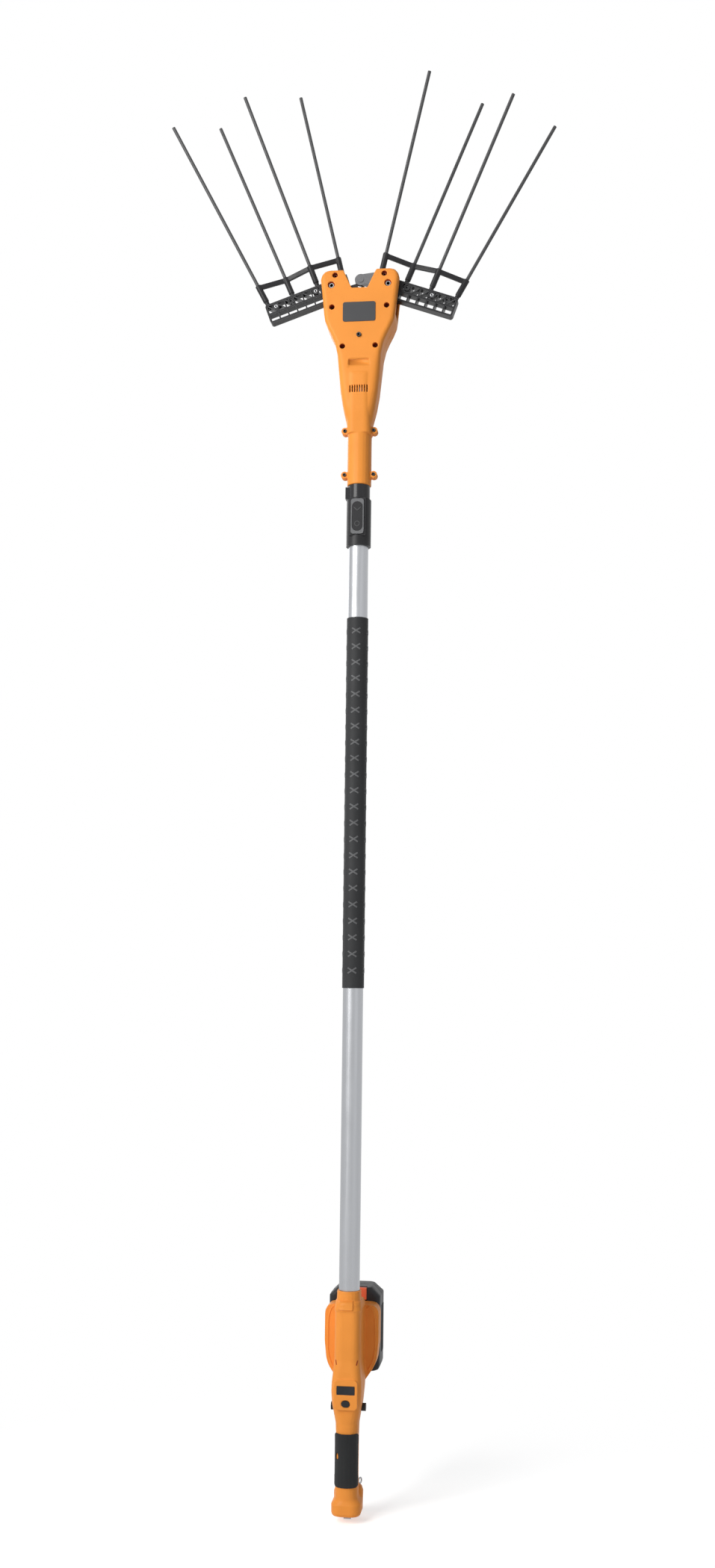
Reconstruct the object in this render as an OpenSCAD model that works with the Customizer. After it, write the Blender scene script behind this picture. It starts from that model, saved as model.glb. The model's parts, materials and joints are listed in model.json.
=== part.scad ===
// Pole-mounted electric olive harvester: two swinging combs on a forked gear head,
// a quick connector, a long aluminium pole and a rear handle with a slide-on battery.
// Frame: +Z runs up the pole from the handle foot, +X is the right comb, -Y is the front face.

/* [Pole] */
// outer diameter of the pole tube
tube_d = 28; // [27:0.5:29]
// wall thickness of the pole tube
tube_wall = 1.5; // [1.2:0.1:1.8]
// bare tube between the handle and the sleeve
lower_bare = 404; // [300:1:500]
// length of the grip sleeve
sleeve_length = 519; // [300:1:600]
// thickness of the grip sleeve
sleeve_thickness = 1.1; // [0.8:0.1:2]
// bare tube between the sleeve and the connector
upper_bare = 104; // [60:1:200]
// diameter of the power cable inside the pole
cable_d = 6; // [4:0.5:7]

/* [Connector] */
// outer diameter of the connector socket
socket_d = 35; // [34.5:0.5:36]
// height of the connector socket
socket_h = 68; // [66:1:76]
// diameter of the plug collar
collar_d = 31; // [29:0.5:33]
// height of the plug collar
collar_h = 21; // [18:1:26]
// diameter of the plug spigot
spigot_d = 23; // [22:0.5:23.5]
// width of the release bezel
bezel_w = 18.4; // [17:0.1:19]
// height of the release bezel
bezel_h = 51; // [48:0.5:52]
// width of the release rocker
rocker_button_w = 14.6; // [13:0.1:15]
// height of the release rocker
rocker_button_h = 42; // [38:0.5:43]

/* [Head] */
// height of the gear head
head_h = 315; // [312:1:320]
// width of the gear head across the horns
head_w = 114; // [112:1:118]
// depth of the gear head
head_d = 52; // [51:0.5:54]
// wall thickness of the head shells
head_wall = 2.6; // [2.4:0.1:2.8]
// distance from the pole axis to each comb pivot
pivot_x = 41; // [40:0.5:42]
// drop from the horn tops to the comb pivots
pivot_drop = 22.5; // [21:0.5:24]
// clear gap between the front and rear horn plates
swing_gap = 26.8; // [26.4:0.1:27.2]
// diameter of the comb pivot shafts
pivot_d = 8; // [7:0.5:9]
// diameter of the front screw wells
well_d = 7.8; // [7.4:0.1:8.2]

/* [Drive] */
// diameter of the motor
motor_d = 35; // [33:0.5:35.5]
// length of the motor
motor_l = 54; // [48:1:55]
// diameter of the output shaft
shaft_d = 8; // [7:0.5:9]
// throw of the eccentric
throw_r = 5.8; // [5:0.1:6]
// diameter of the eccentric roller
roller_d = 8; // [7:0.5:8.5]
// module of the planetary gears
gear_module = 0.8; // [0.75:0.01:0.82]
// length of the planetary gear teeth
gear_w = 9; // [8:0.5:10]

/* [Combs] */
// droop of the combs at rest, in degrees
comb_droop = 19.7; // [17:0.1:22]
// length of a comb block from its pivot
block_l = 101; // [99:1:108]
// height of a comb block
block_h = 29.5; // [28.5:0.5:31]
// thickness of a comb block
block_t = 14; // [13:0.2:14.4]
// spacing of the tines along a comb block
tine_pitch = 38.4; // [37.5:0.1:38.8]
// diameter of a tine rod
tine_d = 5; // [4:0.1:5.4]
// length of a tine rod above its sleeve
tine_l = 272; // [200:1:320]
// diameter of a tine sleeve
tine_sleeve_d = 8.6; // [8.2:0.1:9.4]
// height of the tine sleeves above the block
tine_sleeve_h = 33.5; // [31:0.5:36]
// lean of the tines to front and back, in degrees
tine_splay = 4.6; // [3.5:0.1:5.5]

/* [Handle] */
// height of the rear handle
handle_h = 289; // [286:1:294]
// width of the rear handle at the control panel
handle_w = 41; // [40:0.5:43]
// depth of the rear handle at the control panel
handle_d = 50; // [49:0.5:52]
// wall thickness of the handle shells
handle_wall = 2.4; // [2.2:0.1:2.6]
// width across the battery wings
wing_w = 74; // [72:0.5:76]
// diameter of the lock-off button
lock_d = 10.4; // [9.6:0.1:11]
// length of the lock-off button from side to side
lock_l = 47; // [46:0.5:50]
// thickness of the rubber grip
rubber_t = 1.6; // [1.2:0.1:2]
// thickness of the strap tab
tab_t = 2.5; // [2:0.1:3]
// diameter of the hole in the strap tab
tab_hole_d = 5; // [4:0.1:5.5]

/* [Battery] */
// width of the battery
battery_w = 71; // [70.6:0.2:74]
// height of the battery
battery_h = 112; // [111.5:0.5:116]
// depth of the battery
battery_d = 55; // [54:0.5:60]
// wall thickness of the battery case
battery_wall = 2.5; // [2:0.1:2.7]
// diameter of a battery cell
cell_d = 18.2; // [17.5:0.1:18.5]
// length of a battery cell
cell_l = 65; // [60:0.5:65.5]

/* [Hidden] */
$fn = 48;
overrun = 1;
far = 400;
touch_gap = 0.05;
slip_gap = 0.15;
free_gap = 0.3;
arc_steps = 5;
full_share = 0.98;

// heights up the pole
tube_grip_l = 61;
tube_r = tube_d / 2;
tube_bore_r = tube_r - tube_wall;
tube_seat_z = handle_h - tube_grip_l;
sleeve_z = handle_h + lower_bare;
socket_z = sleeve_z + sleeve_length + upper_bare;
collar_z = socket_z + socket_h;
head_z = collar_z + collar_h;
head_top = head_z + head_h;
pivot_z = head_top - pivot_drop;

// drive stack from the neck up to the comb pivots, which sets the height of the head's body
motor_rise = 32;
ring_end_room = 5;
ring_h = gear_w + ring_end_room;
cover_h = 6;
cover_gap = 28;
bearing_drop = 83.5;
head_body_h = motor_rise + motor_l + ring_h + cover_h + cover_gap + bearing_drop + pivot_drop;
neck_h = head_h - head_body_h;
body_z = head_z + neck_h;

// head outline: a straight neck, then heights, half widths, half depths and rounds as shares
head_rise_shares = [0, 0, 0.063, 0.121, 0.159, 0.251, 0.362, 0.417, 0.479, 0.546,
    0.596, 0.642, 0.688, 0.73, 0.837, 0.946, 0.972, 0.992, 1];
head_width_shares = [0.3, 0.3, 0.327, 0.378, 0.412, 0.474, 0.518, 0.535, 0.553, 0.614,
    0.702, 0.798, 0.877, 0.904, 0.947, 1, 0.97, 0.904, 0.825];
head_depth_shares = [0.67, 0.67, 0.73, 0.82, 0.845, 0.86, 0.88, 0.94, 1, 1,
    1, 1, 1, 1, 1, 1, 0.985, 0.95, 0.9];
head_round_shares = [0.62, 0.62, 0.56, 0.5, 0.46, 0.42, 0.38, 0.33, 0.28, 0.25,
    0.25, 0.24, 0.24, 0.24, 0.24, 0.24, 0.22, 0.2, 0.2];
cavity_first = 2;
cavity_last = 15;
barrel_first = 1;
barrel_last = 6;
barrel_half_w = 17.6;
barrel_raise = 1.6;
barrel_raise_shares = [0, 0.4, 0.75, 1, 1, 1];
barrel_round = 10;
head_count = len(head_rise_shares);
head_levels = [for (i = [0:head_count - 1]) head_level(i, 0)];
cavity_lid = head_level(cavity_last, head_wall);
head_cavity = concat(
    [for (i = [cavity_first:cavity_last]) head_level(i, head_wall)],
    [[head_top - head_wall, cavity_lid[1] - head_wall, cavity_lid[2], cavity_lid[3], cavity_lid[4]]]
);
barrel_levels = [
    for (i = [barrel_first:barrel_last])
        let (level = head_level(i, 0), raise = barrel_raise * barrel_raise_shares[i - barrel_first])
            [level[0], barrel_half_w, level[2] - raise, level[3] + raise, barrel_round]
];

// notch between the horns
notch_top_w = 49;
notch_bottom_w = 23;
notch_depth = 28;

// front screws: distances from the pole axis and below the pivots
side_screw_x = 39.5;
side_screw_drop = 33.5;
low_screw_x = 23.6;
low_screw_drop = 92.5;
horn_screw_x = 35.6;
horn_screw_rise = 14.3;
centre_screw_drop = 76.5;
side_screw_z = pivot_z - side_screw_drop;
low_screw_z = pivot_z - low_screw_drop;
horn_screw_z = pivot_z + horn_screw_rise;
centre_screw_z = pivot_z - centre_screw_drop;
screw_r = 1.9;
screw_head_r = 3.4;
screw_head_h = 2.4;
screw_seat_y = 15;
screw_end_y = 14;
centre_screw_l = 12;
well_r = well_d / 2;
boss_r = 5.4;
horn_boss_r = 5;
horn_screw_r = 1.5;
horn_head_r = 3;
pivot_boss_r = 8;
pivot_well_r = 5;
ear_r = 5.2;
ear_x = 20.8;
ear_half_t = 6.5;
ear_screw_r = 1.4;
ear_head_r = 2.6;
ear_head_h = 1.6;
ear_screw_l = 11;
ear_low_share = 0.21;
ear_top_rise = 5.6;
ear_zs = [head_z + neck_h * ear_low_share, body_z + ear_top_rise];
horn_zone_drop = 42.5;
horn_zone_z = pivot_z - horn_zone_drop;
saddle_w = 22;
saddle_h = 4;
saddle_depth = 12;
saddle_rise_shares = [0.25, 0.8];

// label plate, recess and vents on the front face
label_w = 47;
label_h = 29;
label_t = 0.8;
label_round = 3;
label_drop = 42;
label_z = pivot_z - label_drop;
recess_w = 29;
recess_h = 9;
recess_depth = 1.2;
recess_drop = 116;
recess_z = pivot_z - recess_drop;
vent_count = 8;
vent_w = 1.7;
vent_h = 11;
vent_pitch = 3.5;
vent_drop = 155;
vent_z = pivot_z - vent_drop;

// plug, socket and release rocker
stem_r = 13.5;
stem_inset = 12;
stem_h = neck_h - stem_inset;
spigot_r = spigot_d / 2;
spigot_l = 42;
skirt_h = 10;
socket_plug_l = 26;
cable_r = cable_d / 2;
collar_lug_w = 13;
collar_lug_x = 19;
collar_lug_h = 17;
seal_t = 1.5;
bezel_y = 15.6;
bezel_t = 3;
bezel_top_gap = 2;
bezel_pad = 2;
bezel_top = collar_z - bezel_top_gap;
bezel_low = bezel_top - bezel_h;
button_mid_z = bezel_low + bezel_h / 2;
rocker_y = bezel_y + bezel_t / 2;
rocker_face = 2.3;
rocker_back = 0.6;
rocker_room = 1.6;
rocker_pivot_r = 1;
rocker_hub_r = 1.8;
latch_tooth_w = 6;
latch_tooth_h = 5;
latch_tooth_rise = 10;
latch_tooth_bite = 0.6;
latch_groove_depth = 1.4;
latch_z = button_mid_z + latch_tooth_rise;
contact_count = 3;
contact_r = 1.2;
contact_ring_r = 6.5;
contact_well_h = 14;
contact_well_r = 8.9;
contact_pin_l = 6;
contact_pin_out = 5;
contact_floor_z = collar_z - spigot_l - contact_well_h;

// motor and planetary gear heights
motor_r = motor_d / 2;
motor_wall = 2;
motor_z = body_z + motor_rise;
rotor_r = 12.5;
rotor_end_gap = 4;
motor_bore_r = rotor_r + overrun;
motor_shaft_r = 1.6;
gear_z = motor_z + motor_l;
gear_gap = 0.6;
sun_teeth = 12;
planet_teeth = 12;
ring_teeth = sun_teeth + planet_teeth * 2;
planet_count = 3;
planet_orbit = gear_module * (sun_teeth + planet_teeth) / 2;
tooth_out_share = 0.85;
tooth_in_share = 1.15;
tooth_tip_share = 0.1;
tooth_root_share = 0.27;
gap_tip_share = 0.22;
gap_root_share = 0.4;
planet_pin_r = 1.1;
carrier_t = 2.5;
carrier_rim = 2.6;
shaft_r = shaft_d / 2;
running_gap = 0.06;
bearing_z = pivot_z - bearing_drop;
bearing_h = 26;
bearing_w = 40;
crank_drop = 47.5;
crank_z = pivot_z - crank_drop;
crank_t = 5.5;
crank_rim = 1.4;
roller_r = roller_d / 2;
roller_lift = 2;
roller_z = crank_z + crank_t + roller_lift;
roller_h = 12;
roller_pin_r = 2.4;
crank_r = throw_r + roller_pin_r + crank_rim;

// rockers that carry the combs
flange_gap = 1.2;
flange_y = swing_gap / 2 - flange_gap;
flange_in = block_t / 2 + free_gap;
hub_flats_r = 9;
flange_r = 12;
bush_r = 6;
bush_gap = 0.2;
bush_bore_r = pivot_d / 2 + touch_gap;
link_rise = 12;
link_boss_r = 8.6;
link_pin_r = 2.5;
link_head_r = 4.2;
link_head_h = 0.8;
lever_half_h = 5;
crown_x = 26;
crown_rise = 10.9;
crown_r = 12;
crown_t = 3;
crown_step = 0.5;
slot_half_w = 3.4;
slot_in = 3.6;
slot_out = 6;
fork_drop = 11.5;
fork_bar_h = 6;
fork_reach = 38.5;
fork_half_w = 18;
fork_wall = 4;
fork_half_d = 6.8;
fork_arm_w = 9;
plate_t = 3;
shaft_inset = 3;
link_place = [0, pivot_z + link_rise];

// comb block and tines, in the block's own frame with the pivot at its origin
tine_count = 4;
tine_fan_angles = [-6.3, 1.2, 3.4, 8.2];
first_tine_u = -tine_pitch / 2;
block_top = 15.5;
block_low = block_top - block_h;
block_end_gap = 7;
block_inner_u = first_tine_u - block_end_gap;
arm_low = 7.6;
hub_ring_r = 13.5;
block_face_u = 15;
block_corner = 4;
block_hub_gap = 0.05;
rail_t = 3;
rib_t = 2;
mid_rail_v = 0;
cell_count = 6;
brace_t = 1.4;
block_screw_shares = [0.238, 0.62, 0.848];
block_screw_sides = [1, -1, 1];
block_screw_v = 8.4;
block_boss_r = 4.6;
block_screw_r = 1.6;
block_head_r = 3;
block_head_h = 2;
block_screw_inset = 0.8;
neck_r = 3.4;
neck_depth = 5.5;
sleeve_lift = 6;
tine_foot_y = 2;
bar_h = 7;
bar_t = 4.4;
cell_first_u = block_face_u + rail_t;
cell_step = (block_l - rail_t + rib_t - cell_first_u) / cell_count;
block_screws = [for (s = block_screw_shares) block_l * s];

// handle outline: heights, half widths, front and rear depths and rounds as shares
handle_rise_shares = [0, 0.012, 0.05, 0.06, 0.07, 0.082, 0.208, 0.346, 0.408, 0.453, 0.495,
    0.554, 0.595, 0.643, 0.692, 0.907, 0.945, 0.957, 1];
handle_width_shares = [0.9, 0.97, 0.975, 0.89, 0.79, 0.75, 0.732, 0.732, 0.756, 0.854, 0.951,
    1, 0.98, 0.91, 0.845, 0.845, 0.83, 0.79, 0.77];
handle_front_shares = [0.34, 0.375, 0.385, 0.365, 0.345, 0.345, 0.355, 0.365, 0.39, 0.44, 0.49,
    0.51, 0.51, 0.49, 0.445, 0.44, 0.43, 0.38, 0.37];
handle_rear_shares = [0.5, 0.55, 0.56, 0.5, 0.42, 0.37, 0.35, 0.36, 0.38, 0.41, 0.44,
    0.58, 0.78, 1.03, 1.14, 1.14, 0.8, 0.37, 0.36];
handle_round_shares = [0.24, 0.26, 0.26, 0.26, 0.27, 0.28, 0.28, 0.28, 0.28, 0.26, 0.22,
    0.2, 0.2, 0.2, 0.22, 0.22, 0.24, 0.3, 0.3];
cavity_floor = 30;
cavity_roof_gap = 5;
cavity_roof = tube_seat_z - cavity_roof_gap;
wing_depth = 27;
wing_back = handle_d * handle_rear_shares[14];
wing_front = wing_back - wing_depth;
wing_top_gap = 25;
wing_top = handle_h - wing_top_gap;
wing_h = 81;
wing_low = wing_top - wing_h;
wing_skirt = 27;
wing_width_shares = [0.38, 0.52, 0.67, 0.8, 0.88, 0.935, 1, 1, 0.985, 0.93, 0.83, 0.68];
wing_rise_shares = [0, 0.083, 0.157, 0.222, 0.278, 0.343, 0.546, 0.872, 0.918, 0.958, 0.989, 1];
wing_room_h = 26;
wing_room_gap = 3;
wing_room_roof = 10;
band_gap = 13;
band_h = 12;
band_z = handle_h - band_gap - band_h;
band_raise = 1.2;
handle_count = len(handle_rise_shares);
handle_zs = [for (s = handle_rise_shares) handle_h * s];
cavity_mid_zs = [for (z = handle_zs) if (z > cavity_floor && z < cavity_roof) z];
cavity_zs = concat([cavity_floor], cavity_mid_zs, [cavity_roof]);
handle_levels = [for (z = handle_zs) handle_level(z, 0)];
handle_cavity = [for (z = cavity_zs) handle_level(z, -handle_wall)];
band_levels = [
    for (z = [band_z, band_z + band_h])
        let (level = handle_level(z, band_raise))
            [level[0], level[1], level[2], min(level[3], wing_back), level[4]]
];

// heel behind the foot: heights, half widths, front and rear faces and corner rounds
heel_zs = [1, 6, 24, 30, 35];
heel_half_ws = [16, 19, 19.5, 17.5, 12];
heel_fronts = [4, 4, 6, 8, 12];
heel_backs = [28, 33, 34, 32, 27];
heel_rounds = [9, 11, 11, 10, 7];
heel_levels = [
    for (i = [0:len(heel_zs) - 1])
        [heel_zs[i], heel_half_ws[i], heel_fronts[i], heel_backs[i], heel_rounds[i]]
];

// control panel on the handle front
panel_w = 32;
panel_h = 39;
panel_rise_share = 0.478;
panel_raise = 1.2;
panel_round = 6;
panel_z = handle_h * panel_rise_share;
panel_y = handle_d * handle_front_shares[11] + panel_raise;
display_w = 24;
display_h = 11;
display_t = 1.6;
display_rise_share = 0.566;
display_z = handle_h * display_rise_share;
button_w = 10.8;
button_h = 7.8;
button_t = 5;
button_proud = 1;
button_rise_share = 0.507;
button_z = handle_h * button_rise_share;
lock_y = 7;
lock_rise_share = 0.469;
lock_z = handle_h * lock_rise_share;
lock_r = lock_d / 2;

// rubber grip and trigger
rubber_low_share = 0.128;
rubber_high_share = 0.366;
rubber_steps = 6;
rubber_back = 8;
rubber_zs = [for (k = [0:rubber_steps])
    handle_h * (rubber_low_share + (rubber_high_share - rubber_low_share) * k / rubber_steps)];
trigger_w = 12;
trigger_rise_share = 0.425;
trigger_pivot_z = handle_h * trigger_rise_share;
trigger_pivot_y = 13;
trigger_h = 40;
trigger_head = 4;
trigger_out = 8;
trigger_in = 3.5;
trigger_back = handle_d * lookup(trigger_pivot_z / handle_h, handle_table(handle_rear_shares));
trigger_face_shares = [0, 0.5, 0.85, 1, 0.9, 0.55];
trigger_drop_shares = [0, 0.18, 0.42, 0.66, 0.86, 1];
trigger_pin_r = 2;
trigger_room = 0.6;
trigger_low_room = 1.8;
cheek_t = 2.4;
cheek_h = 11;
switch_h = 24;
switch_d = 9;
switch_y = 3;
switch_drop = 30;
board_w = 58;
board_h = 20;
board_t = 1.6;
handle_screw_r = 1.6;
handle_head_r = 2.8;
handle_head_h = 2;
handle_screw_l = 22;
handle_screw_x = 9;
handle_screw_share = 0.17;
handle_screw_gap = 2;
handle_boss_r = 4.4;
handle_seat_y = 12;
board_screw_z = cavity_roof - wing_room_h - handle_boss_r - handle_screw_gap;
handle_screw_spots = [
    [0, handle_h * handle_screw_share],
    [-handle_screw_x, board_screw_z],
    [handle_screw_x, board_screw_z]
];

// strap fittings
tab_w = 10;
tab_low = 9;
tab_root = 10;
tab_y = 8;
tab_hole_r = tab_hole_d / 2;
tab_hole_drop = 4.4;
eye_r = 3.6;
eye_wire_r = 1.1;
eye_x = 14.5;
eye_y = 25;
eye_z = 35.5;
eye_turn = 65;

// battery and its dock
battery_y = wing_back + free_gap;
battery_low_gap = 13;
battery_z = wing_low - battery_low_gap;
battery_top = battery_z + battery_h;
battery_round = 7;
battery_chamfer = 12;
battery_split = battery_y + battery_d / 2;
front_block = 12;
rail_stem_w = 30;
rail_cap_w = 38;
rail_stem_d = 4;
rail_cap_d = 3;
rail_low_gap = 17;
rail_top_gap = 11;
rail_low = wing_low + rail_low_gap;
rail_top = wing_top - rail_top_gap;
blade_w = 4;
blade_t = 0.8;
blade_h = 7;
blade_x = 9;
latch_w = 34;
latch_h = 16;
latch_d = 7;
latch_top_gap = 1;
latch_travel = 3;
cell_rows = 2;
cell_stack = 5;
cell_lift = 5;
cell_gap = 0.2;
cell_y = battery_y + battery_d - battery_wall - cell_d / 2 - cell_gap;
cell_z = battery_z + cell_lift + cell_d / 2;
room_round = 0.4;
battery_back = battery_y + battery_d;
battery_lip = battery_round / 4;
battery_levels = [
    [battery_z, battery_w / 2 - battery_round, battery_y, battery_back - battery_round, battery_round],
    [battery_z + battery_lip, battery_w / 2 - battery_lip, battery_y,
        battery_back - battery_lip, battery_round],
    [battery_z + battery_round, battery_w / 2, battery_y, battery_back, battery_round],
    [battery_top - battery_chamfer, battery_w / 2, battery_y, battery_back, battery_round],
    [battery_top, battery_w / 2 - battery_chamfer, battery_y, battery_back - battery_round, battery_round]
];
battery_room = [
    for (z = [battery_z + cell_lift - cell_gap, battery_top - battery_chamfer])
        [z, battery_w / 2 - battery_wall, battery_y + front_block, battery_back - battery_wall, room_round]
];

orange = [0.93, 0.48, 0.13];
black = [0.12, 0.12, 0.13];
charcoal = [0.22, 0.23, 0.24];
silver = [0.78, 0.79, 0.8];
steel = [0.62, 0.63, 0.65];
cast_grey = [0.6, 0.61, 0.6];
brass = [0.8, 0.64, 0.3];
bronze = [0.66, 0.46, 0.26];
board_green = [0.1, 0.36, 0.2];
coral = [0.86, 0.3, 0.2];
glass_dark = [0.08, 0.09, 0.11];
pale_grey = [0.68, 0.69, 0.7];
cell_blue = [0.2, 0.45, 0.66];

// one level of a loft: height, half width, front and rear reach, corner round
function ring_points(level) = let (
        half_w = level[1],
        front = level[2],
        rear = level[3],
        r = min(level[4], half_w * full_share, (rear - front) / 2 * full_share)
    ) [
        for (corner = [0:3])
            for (k = [0:arc_steps])
                let (
                    a = 90 * (corner + k / arc_steps),
                    cx = corner == 0 || corner == 3 ? half_w - r : r - half_w,
                    cy = corner < 2 ? rear - r : front + r
                ) [cx + r * cos(a), cy + r * sin(a), level[0]]
    ];

// closed body through a stack of rounded sections
module loft(levels) {
    n = 4 * (arc_steps + 1);
    m = len(levels);
    points = [for (level = levels) each ring_points(level)];
    sides = [
        for (j = [0:m - 2])
            for (i = [0:n - 1])
                let (
                    a = j * n + i,
                    b = j * n + (i + 1) % n,
                    c = b + n,
                    d = a + n
                ) each [[a, d, c], [a, c, b]]
    ];
    bottom = [for (i = [0:n - 1]) i];
    top = [for (i = [n - 1:-1:0]) (m - 1) * n + i];
    polyhedron(points, concat([bottom], sides, [top]), 8);
}

// cylinder along Y from y0 to y1
module y_rod(x, z, r, y0, y1) {
    translate([x, y0, z])
        rotate([-90, 0, 0])
            cylinder(r = r, h = y1 - y0);
}

// cylinder along X from x0 to x1
module x_rod(y, z, r, x0, x1) {
    translate([x0, y, z])
        rotate([0, 90, 0])
            cylinder(r = r, h = x1 - x0);
}

// box between two corners
module span_box(low, high) {
    translate(low)
        cube(high - low);
}

// everything in front of (side -1) or behind (side 1) the plane y = 0
module half_space(side) {
    translate([-far, side < 0 ? -far * 2 : 0, -far])
        cube([far * 2, far * 2, far * 8]);
}

// outline drawn in X and Z, given thickness from y0 to y1
module y_plate(y0, y1) {
    translate([0, y1, 0])
        rotate([90, 0, 0])
            linear_extrude(y1 - y0)
                children();
}

// flat bar of a given half width between two points of an outline
module bar_outline(p, q, half_w) {
    along = (q - p) / norm(q - p);
    side = [-along[1], along[0]] * half_w;
    polygon([p + side, p - side, q - side, q + side]);
}

// oblong with round ends, standing upright
module stadium(w, h) {
    square([w, h - w], center = true);
    translate([0, (h - w) / 2])
        circle(d = w);
    translate([0, (w - h) / 2])
        circle(d = w);
}

// rectangle with round corners
module round_rect(w, h, r) {
    square([w - r * 2, h], center = true);
    square([w, h - r * 2], center = true);
    for (sx = [-1, 1])
        for (sz = [-1, 1])
            translate([sx * (w / 2 - r), sz * (h / 2 - r)])
                circle(r = r);
}

// screw along +Y with its seat at the origin
module pan_screw(head_r, head_h, shank_r, shank_l) {
    y_rod(0, 0, head_r, -head_h, 0);
    y_rod(0, 0, shank_r, 0, shank_l);
}

// toothed outline: half widths at tip and root are shares of the tooth pitch
module gear_outline(teeth, reach_out, reach_in, tip_share, root_share) {
    pitch_r = gear_module * teeth / 2;
    pitch_a = 360 / teeth;
    tip_r = pitch_r + reach_out;
    root_r = pitch_r - reach_in;
    polygon([
        for (i = [0:teeth - 1])
            for (corner = [[root_r, -root_share], [tip_r, -tip_share],
                    [tip_r, tip_share], [root_r, root_share]])
                let (a = pitch_a * (i + corner[1])) corner[0] * [cos(a), sin(a)]
    ]);
}

module spur_outline(teeth) {
    gear_outline(teeth, gear_module * tooth_out_share, gear_module * tooth_in_share,
        tooth_tip_share, tooth_root_share);
}

// places a comb's own frame: X along the block, Z up through the tines, pivot at the origin
module right_comb() {
    translate([pivot_x, 0, pivot_z])
        rotate([0, comb_droop, 0])
            children();
}

module left_comb() {
    rotate([0, 0, 180])
        right_comb()
            children();
}

module pole_tube() {
    tube_l = socket_z + skirt_h - touch_gap - tube_seat_z;
    color(silver)
        translate([0, 0, tube_seat_z])
            difference() {
                cylinder(r = tube_r, h = tube_l);
                translate([0, 0, -overrun])
                    cylinder(r = tube_bore_r, h = tube_l + overrun * 2);
            }
}

module grip_sleeve() {
    color(charcoal)
        translate([0, 0, sleeve_z])
            difference() {
                cylinder(r = tube_r + sleeve_thickness, h = sleeve_length);
                translate([0, 0, -overrun])
                    cylinder(r = tube_r + touch_gap, h = sleeve_length + overrun * 2);
            }
}

module power_cable() {
    color(black)
        translate([0, 0, tube_seat_z])
            cylinder(r = cable_r, h = contact_floor_z - tube_seat_z);
}

module connector_socket() {
    color(black)
        difference() {
            union() {
                translate([0, 0, socket_z])
                    cylinder(d = socket_d, h = socket_h);
                translate([0, 0, socket_z - socket_plug_l])
                    cylinder(r = tube_bore_r - touch_gap, h = socket_plug_l + skirt_h);
                span_box([-bezel_w / 2 - bezel_pad, -bezel_y - bezel_t / 2, bezel_low - bezel_pad],
                    [bezel_w / 2 + bezel_pad, 0, collar_z]);
            }
            translate([0, 0, socket_z - overrun])
                difference() {
                    cylinder(r = tube_r + touch_gap, h = skirt_h + overrun);
                    cylinder(r = tube_bore_r - touch_gap, h = skirt_h + overrun);
                }
            translate([0, 0, socket_z - socket_plug_l - overrun])
                cylinder(r = cable_r + touch_gap, h = far);
            translate([0, 0, collar_z - spigot_l - free_gap])
                cylinder(r = spigot_r + slip_gap, h = far);
            translate([0, 0, contact_floor_z])
                cylinder(r = contact_well_r, h = contact_well_h);
            span_box([-bezel_w / 2 - touch_gap, -far, bezel_low - touch_gap],
                [bezel_w / 2 + touch_gap, -bezel_y, bezel_top + touch_gap]);
            translate([0, 0, button_mid_z])
                y_plate(-far, -bezel_y + rocker_room)
                    stadium(rocker_button_w + free_gap * 2, rocker_button_h + free_gap * 2);
            x_rod(-rocker_y, button_mid_z, rocker_pivot_r + touch_gap,
                -bezel_w / 2 - bezel_pad / 2, bezel_w / 2 + bezel_pad / 2);
            span_box([-latch_tooth_w / 2 - free_gap, -far, latch_z - free_gap * 2],
                [latch_tooth_w / 2 + free_gap, 0, latch_z + latch_tooth_h + free_gap * 2]);
        }
}

module release_bezel() {
    color(pale_grey)
        difference() {
            span_box([-bezel_w / 2, -bezel_y - bezel_t, bezel_low],
                [bezel_w / 2, -bezel_y, bezel_top]);
            translate([0, 0, button_mid_z])
                y_plate(-far, far)
                    stadium(rocker_button_w + free_gap * 2, rocker_button_h + free_gap * 2);
            x_rod(-rocker_y, button_mid_z, rocker_pivot_r + touch_gap, -far, far);
        }
}

module release_rocker() {
    color(black)
        difference() {
            union() {
                translate([0, 0, button_mid_z])
                    y_plate(-rocker_y - rocker_face, -rocker_y + rocker_back)
                        stadium(rocker_button_w, rocker_button_h);
                span_box([-latch_tooth_w / 2, -rocker_y, latch_z],
                    [latch_tooth_w / 2, latch_tooth_bite - spigot_r, latch_z + latch_tooth_h]);
                x_rod(-rocker_y, button_mid_z, rocker_hub_r, -latch_tooth_w / 2, latch_tooth_w / 2);
            }
            x_rod(-rocker_y, button_mid_z, rocker_pivot_r + touch_gap, -far, far);
        }
}

module rocker_pin() {
    pin_half = bezel_w / 2 + bezel_pad / 2 - touch_gap;
    color(steel)
        x_rod(-rocker_y, button_mid_z, rocker_pivot_r, -pin_half, pin_half);
}

module contact_set(z, h, grow) {
    for (i = [0:contact_count - 1])
        rotate([0, 0, i * 360 / contact_count])
            translate([0, contact_ring_r, z])
                cylinder(r = contact_r + grow, h = h);
}

module socket_contacts() {
    color(brass)
        contact_set(contact_floor_z, contact_well_h - contact_pin_out - free_gap * 2, 0);
}

module plug_contacts() {
    color(brass)
        contact_set(collar_z - spigot_l - contact_pin_out, contact_pin_l + contact_pin_out, 0);
}

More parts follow.
